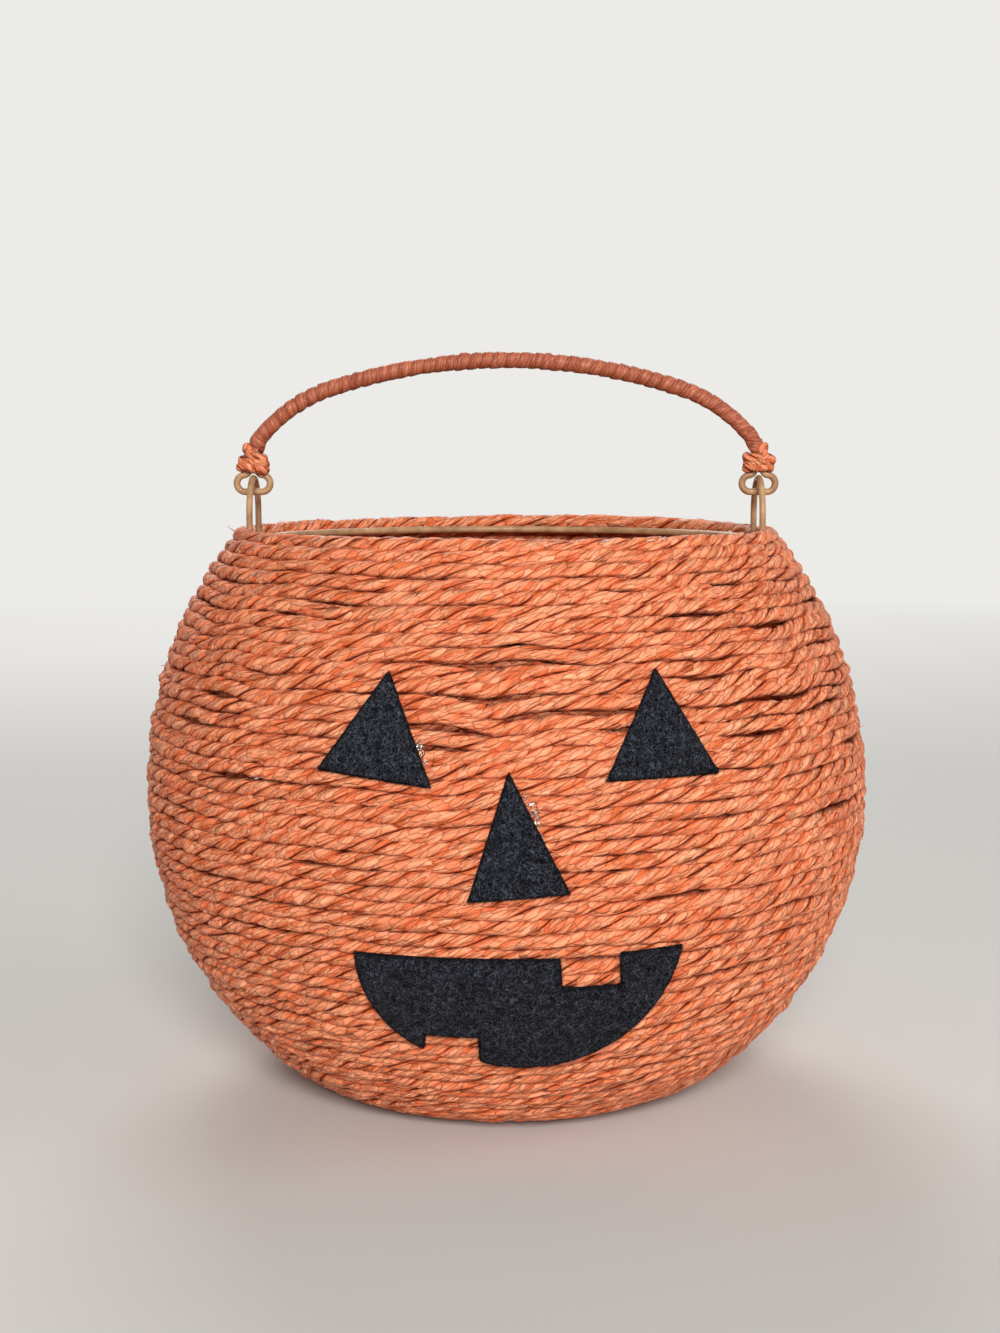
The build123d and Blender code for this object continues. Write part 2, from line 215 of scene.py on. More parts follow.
floor_mesh = bpy.data.meshes.new("floor")
floor_half = floor_size / 2
floor_corners = [(x * floor_half, y * floor_half, 0) for x, y in ((-1, -1), (1, -1), (1, 1), (-1, 1))]
floor_mesh.from_pydata(floor_corners, [], [(0, 1, 2, 3)])
floor_mesh.materials.append(floor_material)
floor = bpy.data.objects.new("floor", floor_mesh)
scene.collection.objects.link(floor)
floor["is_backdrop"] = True
print(f"floor: {floor_size:.0f} m wide, fades out from {fade_start} to {fade_stop} m")

# %% [markdown]
# ## The lamps
#
# The larger a lamp is, the softer are its shadows, so all three are area lamps about a metre wide. Most of
# the light comes from the one high in front. A weak one at the right opens the shadows, and a third one
# lights the back, so that the pail can be looked at from every side.

# %% Lamps
lamp_aim = Vector((0, 0, 0.1))
# Lamps: place and size in metres, power in watts
lamps = {
    "key_lamp": ((0.15, -2.2, 1.05), 0.75, 57.5),
    "side_lamp": ((1.3, -0.3, 0.8), 0.8, 4.0),
    "back_lamp": ((-0.3, 2.0, 1.5), 1.2, 30.0),
}
for name, (place_at, size, power) in lamps.items():
    lamp_data = bpy.data.lights.new(name, "AREA")
    lamp_data.size = size
    lamp_data.energy = power
    lamp = bpy.data.objects.new(name, lamp_data)
    lamp.location = place_at
    lamp.rotation_euler = (lamp_aim - lamp.location).to_track_quat("-Z", "Y").to_euler()
    scene.collection.objects.link(lamp)
print("lamps:", ", ".join(lamps))

# %% [markdown]
# ## Crumpled paper
#
# The rope, the cord round the handle and the loose slivers are the same thin paper, twisted while it
# was folded. Its folds run along the strand, so the pattern reads a "lay" attribute that each winding
# carries: the length along the cord, then a position round it that turns with the twist. The group
# gives a shade for each facet, the creases between facets, their relief, and a slow drift of tone.

# %% Crumpled paper group
sway_scale = 0.7
sway_reach = 1.1, 1.1, 1.1
tilt_share = 1.1
fold_share = 0.7
crease_reach = 0.1
drift_stretch = 0.25, 0.12, 0.12
middle_grey = 0.5, 0.5, 0.5

paper, given, made = new_group(
    "ShaderNodeTree",
    "Crumpled paper",
    {"Lay": ("Vector", None), "Fold Width": ("Float", 0.9 * mm), "Fold Length": ("Float", 6 * mm)},
    {"Facets": "Float", "Creases": "Float", "Relief": "Float", "Drift": "Float"},
)
across = sums(paper, "DIVIDE", 1.0, given["Fold Width"])
along = sums(paper, "DIVIDE", 1.0, given["Fold Length"])
stretch = place(paper, "ShaderNodeCombineXYZ", {0: along, 1: across, 2: across}).outputs[0]
folded = scaled(paper, given["Lay"], stretch)
inputs = {"Vector": folded, "Scale": sway_scale, "Detail": 2.0}
sway = place(paper, "ShaderNodeTexNoise", inputs).outputs["Color"]
inputs = {0: sway, 1: sway_reach, 2: folded}
swayed = place(paper, "ShaderNodeVectorMath", inputs, operation="MULTIPLY_ADD").outputs[0]
inputs = {"Vector": swayed, "Scale": 1.0}
cells = place(paper, "ShaderNodeTexVoronoi", inputs).outputs
borders = place(paper, "ShaderNodeTexVoronoi", inputs, feature="DISTANCE_TO_EDGE").outputs[0]
folds = noise(paper, folded, detail=1.5, distortion=0.5)
drift = noise(paper, scaled(paper, folded, drift_stretch))
inputs = {0: swayed, 1: cells["Position"]}
within = place(paper, "ShaderNodeVectorMath", inputs, operation="SUBTRACT").outputs[0]
inputs = {0: cells["Color"], 1: middle_grey}
lean = place(paper, "ShaderNodeVectorMath", inputs, operation="SUBTRACT").outputs[0]
tilt = place(paper, "ShaderNodeVectorMath", {0: within, 1: lean}, operation="DOT_PRODUCT").outputs["Value"]
relief = sums(paper, "MULTIPLY_ADD", tilt, tilt_share, sums(paper, "MULTIPLY", folds, fold_share))
paper.links.new(cells["Color"], made["Facets"])
paper.links.new(span(paper, borders, 0.0, crease_reach), made["Creases"])
paper.links.new(relief, made["Relief"])
paper.links.new(span(paper, drift, 0.3, 0.7), made["Drift"])
print(paper.name, "has", len(paper.nodes), "nodes")

# %% [markdown]
# ## Orange paper finishes
#
# The dye is even, but every facet catches the light at its own angle, and the colour paints that light in.
# Brick is the painted shadow in the grooves and creases between the strands and in the gaps between rows.
# Orange is the paper. A paler painted highlight lies on the raised parts of the facets and on the crests.
# Orange and highlight lie close together: in shades further apart the rope looks printed, and here most of
# the light and dark comes from the relief. The wall's rope, which the bindings share, is paler and duller
# than the cord of the handle.

# %% Paper material
relief_highlight_share = 0.7
facet_sheen_share = 0.22
drift_share = 0.35
crest_highlight_share = 0.3
crease_shadow_share = 0.22
crease_height = 0.15
gap_shadow_share = 0.95
crest_highlight_reach = 0.3
pale_range = 0.4, 1.04
shadow_start = 0.58
rough_range = 0.65, 0.38


def paper_material(name, shades, fold_width, fold_length, groove_shadow_strength, relief, gloss):
    """Twisted paper in three shades: painted shadow for grooves and gaps, the orange body, and a painted
    highlight.
    """
    groove_shadow_colour, body_shade, ridge_highlight_colour = shades
    material, tree, shader = new_material(name, {"Specular IOR Level": gloss})
    lay = place(tree, "ShaderNodeAttribute", attribute_name="lay").outputs["Vector"]
    groove = place(tree, "ShaderNodeAttribute", attribute_name="groove").outputs["Fac"]
    hidden = place(tree, "ShaderNodeAttribute", attribute_name="hidden").outputs["Fac"]
    inputs = {"Lay": lay, "Fold Width": fold_width, "Fold Length": fold_length}
    crumple = place(tree, "ShaderNodeGroup", inputs, node_tree=paper).outputs
    # Painted highlight: the crest of each strand, away from its grooves, is paler.
    crown = span(tree, groove, 0.0, crest_highlight_reach, crest_highlight_share, 0.0)
    # Painted highlight: the raised parts of the relief are paler, and each facet gets its own painted
    # sheen. The drift is the paper's own uneven tone.
    pale = sums(tree, "MULTIPLY_ADD", crumple["Relief"], relief_highlight_share, crown)
    pale = sums(tree, "MULTIPLY_ADD", crumple["Facets"], facet_sheen_share, pale)
    pale = sums(tree, "MULTIPLY_ADD", crumple["Drift"], drift_share, pale)
    tone = mixed(tree, span(tree, pale, *pale_range), body_shade, ridge_highlight_colour)
    # Painted shadow along the creases between facets.
    fold_line_shadow = span(tree, crumple["Creases"], 0.0, 1.0, crease_shadow_share, 0.0)
    tone = mixed(tree, fold_line_shadow, tone, groove_shadow_colour)
    # Painted shadow in the grooves between strands and, where the hidden mark is set, in the gaps between
    # rows.
    shadow = span(tree, groove, shadow_start, 1.0, 0.0, groove_shadow_strength)
    shadow = sums(tree, "MAXIMUM", shadow, sums(tree, "MULTIPLY", hidden, gap_shadow_share))
    tone = mixed(tree, shadow, tone, groove_shadow_colour)
    tree.links.new(tone, shader["Base Color"])
    rough = span(tree, crumple["Facets"], 0, 1, *rough_range)
    tree.links.new(sums(tree, "MAXIMUM", rough, shadow), shader["Roughness"])
    height = sums(tree, "MULTIPLY_ADD", crumple["Creases"], crease_height, crumple["Relief"])
    bump = {"Height": height, "Strength": 1.0, "Distance": relief}
    tree.links.new(place(tree, "ShaderNodeBump", bump).outputs[0], shader["Normal"])
    return material


# %% Paper finishes
# Each set of shades: the painted shadow, the paper's own orange, and the painted highlight. The cord's set
# is darker.
rope_shades = colour(96, 26, 5), colour(226, 109, 63), colour(252, 169, 127)
cord_shades = colour(80, 32, 16), colour(152, 70, 42), colour(186, 104, 72)
rope_folds = {"fold_width": 1.8 * mm, "fold_length": 4.4 * mm, "groove_shadow_strength": 0.95}
cord_folds = {"fold_width": 1.3 * mm, "fold_length": 5.0 * mm, "groove_shadow_strength": 0.85}
rope_paper = paper_material("orange_rope_paper", rope_shades, **rope_folds, relief=1.8 * mm, gloss=0.14)
cord_paper = paper_material("orange_cord_paper", cord_shades, **cord_folds, relief=0.8 * mm, gloss=0.45)
print("finishes:", rope_paper.name, "and", cord_paper.name)

# %% [markdown]
# ## One tree for every paper winding
#
# A sweep is the natural tool for a cord, but a plain round sweep looks like plastic tube. This tree
# takes a route as a line of points, each with its own way out, twist and girth. It sweeps a round or
# flat section that carries two marks: how near a point is to the crease between two strands, and which
# side of its strand it is on. The same tree makes the wall, the slivers, the handle's wrapping and the
# bindings.

# %% Attributes in a tree
def named(tree, name, data_type="FLOAT"):
    """A named attribute of the geometry that is passing through."""
    return place(tree, "GeometryNodeInputNamedAttribute", {"Name": name}, data_type=data_type).outputs[0]


def stored(tree, geometry, name, value, data_type="FLOAT"):
    """Keep a value on the points under a name."""
    inputs = {"Geometry": geometry, "Name": name, "Value": value}
    node = place(tree, "GeometryNodeStoreNamedAttribute", inputs, data_type=data_type, domain="POINT")
    return node.outputs[0]


# %% Winding tree, the route
winding, given, made = new_group(
    "GeometryNodeTree",
    "Wound paper",
    {
        "Geometry": ("Geometry", None),
        "Step": ("Float", 1.5 * mm),
        "Sides": ("Int", 16),
        "Half Height": ("Float", 2.2 * mm),
        "Half Width": ("Float", 2.2 * mm),
        "Crease": ("Float", 0.5 * mm),
        "Overlap": ("Float", 0.2 * mm),
        "Crumple": ("Float", 0.4 * mm),
        "Floor": ("Float", -1.0),
        "Material": ("Material", None),
    },
    {"Geometry": "Geometry"},
)
line = place(winding, "GeometryNodeMeshToCurve", {"Mesh": given["Geometry"]}).outputs[0]
line = place(winding, "GeometryNodeResampleCurve", {"Curve": line, "Length": given["Step"]}, mode="LENGTH")
inputs = {"Curve": line.outputs[0], "Normal": named(winding, "outward", "FLOAT_VECTOR")}
line = place(winding, "GeometryNodeSetCurveNormal", inputs, mode="FREE").outputs[0]
inputs = {"Curve": line, "Tilt": named(winding, "twist")}
line = place(winding, "GeometryNodeSetCurveTilt", inputs).outputs[0]
print(winding.name, "takes", ", ".join(given.keys()[1:-1]))

# %% Winding tree, the section
strands = 3
crease_sharpness = 0.35
flank_sharpness = 3.0

ring = place(winding, "GeometryNodeCurvePrimitiveCircle", {"Resolution": given["Sides"], "Radius": 1.0})
factor = place(winding, "GeometryNodeSplineParameter").outputs["Factor"]
turned = sums(winding, "MULTIPLY", factor, 2 * pi)
high = sums(winding, "MULTIPLY", sums(winding, "COSINE", turned), given["Half Height"])
wide = sums(winding, "MULTIPLY", sums(winding, "SINE", turned), given["Half Width"])
strand = sums(winding, "MULTIPLY", factor, strands * pi)
crest = sums(winding, "COSINE", strand)
crown = sums(winding, "POWER", sums(winding, "ABSOLUTE", crest), crease_sharpness)
groove = sums(winding, "SUBTRACT", 1.0, crown)
flank = sums(winding, "POWER", sums(winding, "SINE", strand), flank_sharpness)
edge = sums(winding, "MULTIPLY", flank, sums(winding, "SIGN", crest))
section = place(winding, "ShaderNodeCombineXYZ", {0: high, 1: wide}).outputs[0]
round_place = place(winding, "ShaderNodeCombineXYZ", {0: 0.0, 1: high, 2: wide}).outputs[0]
ring = stored(winding, ring.outputs[0], "groove", groove)
ring = stored(winding, ring, "edge", edge)
ring = stored(winding, ring, "lay", round_place, "FLOAT_VECTOR")
ring = place(winding, "GeometryNodeSetPosition", {"Geometry": ring, "Position": section}).outputs[0]
print("a section has", strands, "strands")

# %% Winding tree, the sweep
inputs = {"Curve": line, "Profile Curve": ring, "Scale": named(winding, "girth"), "Fill Caps": True}
body = place(winding, "GeometryNodeCurveToMesh", inputs).outputs[0]
length = place(winding, "ShaderNodeCombineXYZ", {0: named(winding, "along")}).outputs[0]
lay = named(winding, "lay", "FLOAT_VECTOR")
lay = place(winding, "ShaderNodeVectorMath", {0: lay, 1: length}, operation="ADD").outputs[0]
body = stored(winding, body, "lay", lay, "FLOAT_VECTOR")
print("sweep:", len(winding.nodes), "nodes so far")

# %% [markdown]
# ## Creases, gaps and crumples
#
# No two strands of real paper rope are alike. Noise along the cord presses the creases in, deep here and
# closed there, lifts one edge of a strand over its neighbour, and crumples the surface. Sides that turn
# away from the outside face the next row, and little light gets between them. They are marked as hidden,
# so that the finish can shade them, except where the route says that no row covers them.

# %% Winding tree, the marks
# Features for each metre: along the cord, then on the two axes across it
crease_cells = 75, 150, 150
gap_cells = 45, 60, 60
open_range = 0.55, 1.3
gap_facing = 0.66, 0.44
gap_range = 0.5, 1.0

lay = named(winding, "lay", "FLOAT_VECTOR")
openness = noise(winding, scaled(winding, lay, crease_cells), detail=1.0)
openness = span(winding, openness, 0.33, 0.67, *open_range)
groove = sums(winding, "MULTIPLY", named(winding, "groove"), openness)
body = stored(winding, body, "groove", groove)
square = place(winding, "GeometryNodeInputNormal").outputs[0]
inputs = {0: square, 1: named(winding, "outward", "FLOAT_VECTOR")}
facing = place(winding, "ShaderNodeVectorMath", inputs, operation="DOT_PRODUCT").outputs["Value"]
hidden = span(winding, sums(winding, "ABSOLUTE", facing), *gap_facing)
closeness = noise(winding, scaled(winding, lay, gap_cells), detail=1.0)
closeness = span(winding, closeness, 0.35, 0.65, *gap_range)
hidden = sums(winding, "MULTIPLY", hidden, closeness)
body = stored(winding, body, "hidden", sums(winding, "MULTIPLY", hidden, named(winding, "covered")))
print("marks:", len(winding.nodes), "nodes so far")

# %% Winding tree, the shape
lap_cells = 60, 90, 90
lump_cells = 110, 330, 330
fold_cells = 230, 800, 800
lap_range = -0.5, 1.0
fold_half = 0.12
fold_height = 1.6

pressed = sums(winding, "MULTIPLY", named(winding, "groove"), given["Crease"])
lifted = noise(winding, scaled(winding, lay, lap_cells), detail=1.0)
lifted = sums(winding, "MULTIPLY", span(winding, lifted, 0.3, 0.7, *lap_range), named(winding, "edge"))
lifted = sums(winding, "MULTIPLY", lifted, given["Overlap"])
lump = sums(winding, "SUBTRACT", noise(winding, scaled(winding, lay, lump_cells), detail=1.0), 0.5)
fold = sums(winding, "SUBTRACT", noise(winding, scaled(winding, lay, fold_cells), detail=1.0), 0.5)
fold = sums(winding, "SUBTRACT", fold_half, sums(winding, "ABSOLUTE", fold))
lump = sums(winding, "MULTIPLY", sums(winding, "MULTIPLY_ADD", fold, fold_height, lump), given["Crumple"])
lump = sums(winding, "ADD", lump, sums(winding, "SUBTRACT", lifted, pressed))
lift = place(winding, "ShaderNodeVectorMath", {0: square, "Scale": lump}, operation="SCALE").outputs[0]
body = place(winding, "GeometryNodeSetPosition", {"Geometry": body, "Offset": lift}).outputs[0]
point = place(winding, "GeometryNodeInputPosition").outputs[0]
lowest = place(winding, "ShaderNodeCombineXYZ", {0: -1.0, 1: -1.0, 2: given["Floor"]}).outputs[0]
point = place(winding, "ShaderNodeVectorMath", {0: point, 1: lowest}, operation="MAXIMUM").outputs[0]
body = place(winding, "GeometryNodeSetPosition", {"Geometry": body, "Position": point}).outputs[0]
for name in ("outward", "twist", "girth", "along", "covered", "edge"):
    body = place(winding, "GeometryNodeRemoveAttribute", {"Geometry": body, "Name": name}).outputs[0]
body = place(winding, "GeometryNodeSetShadeSmooth", {"Geometry": body}).outputs[0]
body = place(winding, "GeometryNodeRealizeInstances", {"Geometry": body}).outputs[0]
inputs = {"Geometry": body, "Material": given["Material"]}
body = place(winding, "GeometryNodeSetMaterial", inputs).outputs[0]
winding.links.new(body, made["Geometry"])
print(winding.name, "has", len(winding.nodes), "nodes")

# %% [markdown]
# ## From a route to a piece
#
# A tree works on a start mesh, through a modifier. What it makes is copied to a plain mesh and the
# modifier is taken off, so that nothing is worked out twice. The start mesh of a winding is only points
# and edges, with what the tree reads at each point.

# %% Run a tree
def grow(name, start, tree, values):
    """Run a geometry tree on a start mesh, and keep the result as a plain mesh piece."""
    piece = bpy.data.objects.new(name, start)
    scene.collection.objects.link(piece)
    modifier = piece.modifiers.new(tree.name, "NODES")
    modifier.node_group = tree
    for item in tree.interface.items_tree:
        if item.in_out == "INPUT" and item.name in values:
            modifier[item.identifier] = values[item.name]
    depsgraph = bpy.context.evaluated_depsgraph_get()
    grown = piece.evaluated_get(depsgraph)
    mesh = bpy.data.meshes.new_from_object(grown, preserve_all_data_layers=True, depsgraph=depsgraph)
    piece.modifiers.remove(modifier)
    piece.data = mesh
    mesh.name = name
    print(name, "has", sum(len(face.vertices) - 2 for face in mesh.polygons), "triangles")
    return piece


# %% Start mesh of a winding
def route_mesh(name, points, outward, twist, girth, along, covered, lines=1):
    """Lines of equally many points with what the winding tree reads at each, square to the line."""
    each = len(points) // lines
    way = np.gradient(points.reshape(lines, each, 3), axis=1).reshape(-1, 3)
    way /= np.linalg.norm(way, axis=1)[:, None]
    outward = outward - way * np.sum(outward * way, axis=1)[:, None]
    outward /= np.linalg.norm(outward, axis=1)[:, None]
    mesh = bpy.data.meshes.new(name)
    joins = [(n, n + 1) for n in range(len(points) - 1) if (n + 1) % each]
    mesh.from_pydata(points.tolist(), joins, [])
    mesh.attributes.new("outward", "FLOAT_VECTOR", "POINT").data.foreach_set("vector", outward.ravel())
    for title, values in (("twist", twist), ("girth", girth), ("along", along), ("covered", covered)):
        mesh.attributes.new(title, "FLOAT", "POINT").data.foreach_set("value", values)
    return mesh


def lengths(points):
    """The length along a line of points, at each of them."""
    return np.concatenate(([0], np.cumsum(np.linalg.norm(np.diff(points, axis=0), axis=1))))


# %% [markdown]
# ## The outline of the wall
#
# From the side the wall is three arcs, each tangent to the next: the shoulder from the mouth to the
# belly, the lower wall, and the corner that turns in to the flat base. A few sizes fix all three. The
# middle of the rope runs half a rope inside them, so its own arcs are smaller by that much.

# %% Wall outline
belly_radius = 120.0 * mm
belly_height = 99.7 * mm
mouth_radius = 89.3 * mm
mouth_height = 185.6 * mm
base_radius = 47.0 * mm
corner_radius = 48.5 * mm
foot_cut = 0.5 * mm
rope_radius = 1.95 * mm

mouth_inset = belly_radius - mouth_radius
mouth_rise = mouth_height - belly_height
shoulder_radius = (mouth_inset**2 + mouth_rise**2) / (2 * mouth_inset)
shoulder_centre = belly_radius - shoulder_radius
corner_height = corner_radius - foot_cut
base_inset = belly_radius - base_radius
base_drop = belly_height - corner_height
lower_radius = (base_inset**2 + base_drop**2 - corner_radius**2) / (2 * (base_inset - corner_radius))
lower_centre = belly_radius - lower_radius
lower_angle = atan2(base_drop, lower_radius - base_inset)
rope_shoulder = shoulder_radius - rope_radius
rope_lower = lower_radius - rope_radius
rope_corner = corner_radius - rope_radius
top_angle = asin((mouth_height - rope_radius - belly_height) / rope_shoulder)
print(f"arcs of the wall: {shoulder_radius / mm:.1f}, {lower_radius / mm:.1f}, {corner_radius / mm:.1f} mm")

# %% [markdown]
# ## The route of the wall's rope
#
# The wall is one spiral of 58 rows: 20 from the mouth to the belly, and 38 from there down round the
# corner and in to the middle of the base. Each row is level at the front and steps down at the back,
# so the rope starts with a short run along the back of the rim that fills the first step. In the last
# half turn the rope bends in towards the axis and closes the middle of the base.

# %% Steps from row to row
def eased(share):
    """A step from 0 to 1 that starts and ends level."""
    return share**2 * (3 - 2 * share)


def rows_at(turn):
    """Rows laid after a turn count: level at the front, with the step at the back."""
    whole = np.floor(turn)
    return whole + eased(np.clip(2 * (turn - whole) - 1, 0, 1))


print("rows laid at each quarter of the first turn:", rows_at(np.linspace(0, 1, 5)).tolist())

# %% Even rows
shoulder_rows = 20
lower_rows = 38
rows = shoulder_rows + lower_rows
points_per_row = 240
first_run = 108
first_rise = 6
spiral_end = 9.0 * mm
spiral_tuck = 2.5 * mm
seam_angle = pi

corner_start = rope_lower * lower_angle
flat_start = corner_start + rope_corner * (pi / 2 - lower_angle)
rope_below = flat_start + base_radius - spiral_end
turn = np.arange(-first_run, rows * points_per_row + 1) / points_per_row
angle = seam_angle + 2 * pi * turn
upper = rows_at(np.minimum(turn, shoulder_rows))
risen = eased(np.clip((turn - turn[0]) * first_rise, 0, 1))
upper = np.where(upper < 0, risen * upper / 2, upper)
travel = rope_below * rows_at(np.maximum(turn - shoulder_rows, 0)) / lower_rows
lower = np.minimum(travel, corner_start) / rope_lower
round_corner = np.clip(travel - corner_start, 0, flat_start - corner_start) / rope_corner
slope = top_angle * (1 - upper / shoulder_rows) - lower - round_corner
on_shoulder = turn < shoulder_rows
on_corner = travel >= corner_start
arc_radius = np.where(on_shoulder, rope_shoulder, np.where(on_corner, rope_corner, rope_lower))
arc_centre = np.where(on_shoulder, shoulder_centre, np.where(on_corner, base_radius, lower_centre))
arc_height = np.where(on_corner, corner_height, belly_height)
tuck = spiral_tuck * eased(np.clip(1 - 2 * (rows - turn), 0, 1))
radius = arc_centre + arc_radius * np.cos(slope) - np.maximum(travel - flat_start, 0) - tuck
height = arc_height + arc_radius * np.sin(slope)
print(f"even spiral: {rows} rows, {len(turn)} points")

# %% [markdown]
# ## Where the rows part
#
# A perfect spiral looks like a machine part. On the real wall the rows wander, and here and there two of
# them part, so that a dark slit shows between them. On the front the slits lie where the photograph shows
# them. More of them at random places keep the sides and the back from looking too even.

# %% Slits
rope_draw = np.random.default_rng(31)
# Slits between rows: degrees round from the front, height, half length and width in millimetres
slits = (
    (-3, 164, 6, 1.3), (0, 149, 20, 1.2), (-2, 144, 19, 1.6), (3, 139.5, 9, 1.5), (13, 139.5, 8, 1.1),
    (-8, 135, 11, 1.5), (17, 135, 5, 1.1), (-9, 130.5, 8, 1.1), (19, 169, 6, 1.1), (30, 146, 10, 1.2),
    (48, 139, 18, 1.7), (58, 133, 12, 1.5), (40, 128, 9, 1.1), (-50, 137, 9, 1.2), (-58, 130, 8, 1.1),
    (-44, 116, 7, 0.9), (33, 163, 10, 1.2), (-30, 166, 8, 1.0), (12, 66, 7, 1.0), (50, 160, 12, 1.3),
    (-62, 96, 10, 1.2), (60, 104, 12, 1.3), (-28, 92, 6, 0.8), (27, 84, 7, 0.9), (70, 118, 12, 1.4),
)
unseen_slits = 40
unseen_round = 75, 150
unseen_level = 35, 172
unseen_half = 6, 15
unseen_width = 0.6, 1.2
for n in range(unseen_slits):
    where = rope_draw.uniform(*unseen_round) * (-1) ** n, rope_draw.uniform(*unseen_level)
    slits += ((*where, rope_draw.uniform(*unseen_half), rope_draw.uniform(*unseen_width)),)
print(f"slits: {len(slits)}, {unseen_slits} of them round the sides and the back")

# %% [markdown]
# ## Slack rows
#
# Rows slide up and down the wall a little, partly together with their neighbours and partly alone, and
# lie a little further out or in. A slit pushes the rows on both sides of it apart, the nearest ones most.
# The first row and the base stay even, because the rim's wire and the middle of the spiral hold them.

# %% Noise along the rope
wander_waves = 16
wander_round = 3, 22
wander_down = -0.7, 0.7


def slow_noise(draw, count, width):
    """Random values of about unit size that change over a width counted in points."""
    kernel = np.exp(-0.5 * (np.arange(-3 * width, 3 * width + 1) / width) ** 2)
    raw = np.convolve(draw.standard_normal(count + 6 * width), kernel, "valid")
    return raw / sqrt(np.sum(kernel**2))


def shared_wander(angle, row):
    """A slow unevenness of about unit size that neighbouring rows share."""
    total = np.zeros_like(angle)
    for _ in range(wander_waves):
        around = rope_draw.integers(*wander_round)
        down = rope_draw.uniform(*wander_down)
        total += np.sin(around * angle + down * row + rope_draw.uniform(0, 2 * pi))
    return total * sqrt(2 / wander_waves)


# %% Slack
shared_slack = 0.3 * mm
row_slack = 0.2 * mm
lift_slack = 0.2 * mm
rope_inset = 0.5 * mm
slit_spare = 0.5
push_rows = 2.5
thin_rows = 0.8
even_rows = 10
even_fade = 6

laid = upper + rows_at(np.maximum(turn - shoulder_rows, 0))
settled = np.clip(turn, 0, 1) * np.clip((rows - even_rows - turn) / even_fade, 0, 1)
slide = shared_slack * shared_wander(angle, laid) + row_slack * slow_noise(rope_draw, len(turn), width=5)
front = angle + pi / 2
thin = np.zeros_like(turn)
for round_from_front, slit_height, half_length, width in slits:
    off = (front - radians(round_from_front) + pi) % (2 * pi) - pi
    near = np.abs(off) < radians(1)
    row = np.floor(np.interp(-slit_height * mm, -height[near], laid[near])) + 0.5
    apart = laid - row
    beside = np.exp(-((off * radius / (half_length * mm)) ** 2))
    pushed = np.exp(-np.abs(apart) / push_rows) * (width + slit_spare) * mm / 2
    slide += np.sign(apart) * beside * pushed
    thin = np.maximum(thin, width * beside * np.exp(-((apart / thin_rows) ** 2)))
slide *= settled
lift = lift_slack * slow_noise(rope_draw, len(turn), width=7) * settled - rope_inset
print(f"rows slide by up to {np.abs(slide).max() / mm:.2f} mm")

# %% Points of the rope
ring_place = radius + lift * np.cos(slope) + slide * np.sin(slope)
level = height + lift * np.sin(slope) - slide * np.cos(slope)
rope_points = np.stack((ring_place * np.cos(angle), ring_place * np.sin(angle), level), axis=1)
rope_out = np.stack((np.cos(slope) * np.cos(angle), np.cos(slope) * np.sin(angle), np.sin(slope)), axis=1)
rope_along = lengths(rope_points)
print(f"rope: {rope_along[-1]:.2f} m in {rows} rows")

# %% [markdown]
# ## The wall's rope
#
# Three strands lie round each other once in about 30 mm, so a strand shows every 10 mm or so along a
# row. The lay is not regular in paper: it tightens and slackens, the rope swells with it, and beside a
# slit the rope is a little thinner. The frame holds the rope in five lengths, and each is cut in two
# here, so that no one mesh gets too heavy.

# %% Twist and girth
lay_length = 30 * mm
lay_slack = 1.1
lay_quick_slack = 0.5
swell_share = 0.05
slow_swell_share = 0.03
slit_thin_share = 0.06
tapered_points = 20
tapered_share = 0.8
covered_from = 0.6

count = len(turn)
rope_twist = -2 * pi * rope_along / lay_length
rope_twist += lay_slack * slow_noise(rope_draw, count, width=12)
rope_twist += lay_quick_slack * slow_noise(rope_draw, count, width=3)
rope_girth = 1 + swell_share * slow_noise(rope_draw, count, width=3)
rope_girth += slow_swell_share * slow_noise(rope_draw, count, width=25)
rope_girth -= slit_thin_share * thin * settled
rope_girth[:tapered_points] *= np.linspace(tapered_share, 1, tapered_points)
rope_covered = np.clip(turn - covered_from, 0, 1)
print(f"girth: from {rope_girth.min():.2f} to {rope_girth.max():.2f} of the rope's own")

# %% Rope pieces
rope_half = 2.6 * mm
rope_tracks = rope_points, rope_out, rope_twist, rope_girth, rope_along, rope_covered
rope_sizes = {"Step": 1.2 * mm, "Sides": 18, "Half Height": rope_half, "Half Width": rope_half}
rope_sizes.update({"Crease": 0.5 * mm, "Overlap": 0.35 * mm, "Crumple": 1.1 * mm, "Floor": 0.0})
rope_sizes["Material"] = rope_paper
# First and last row of each length of the frame's rope
rope_lengths = {
    "mouth": (0, 10),
    "shoulder": (10, shoulder_rows),
    "belly": (shoulder_rows, 31),
    "lower": (31, 44),
    "base": (44, rows),
}
for length, (first, last) in rope_lengths.items():
    middle = (first + last) // 2
    for half, begin, end in (("upper", first, middle), ("lower", middle, last)):
        start = first_run + begin * points_per_row if begin else 0
        part = slice(start, first_run + end * points_per_row + 1)
        name = f"{length}_rope_{half}"
        piece = grow(name, route_mesh(name, *[track[part] for track in rope_tracks]), winding, rope_sizes)
        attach(piece, "pail")
        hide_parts(f"{length}_winding")
print("lengths of rope:", ", ".join(rope_lengths))

# %% [markdown]
# ## Loose slivers
#
# Paper rope sheds: thin slivers of torn edge curl off the strands. Two longer ones show most, one on
# the rim by the left lug and one low on the front. They are ribbons a few tenths of a millimetre wide,
# and the winding tree sweeps them all at once from one mesh of short lines. Each starts just inside the
# rope that it leaves.

# %% Places of slivers
sliver_draw = np.random.default_rng(17)
wall_slivers = 70
bare_rows = 10
# Least and most length in millimetres, curl and lift of the others
sliver_least = 1.5, 0.3, 0.15
sliver_most = 4.0, 1.6, 0.6
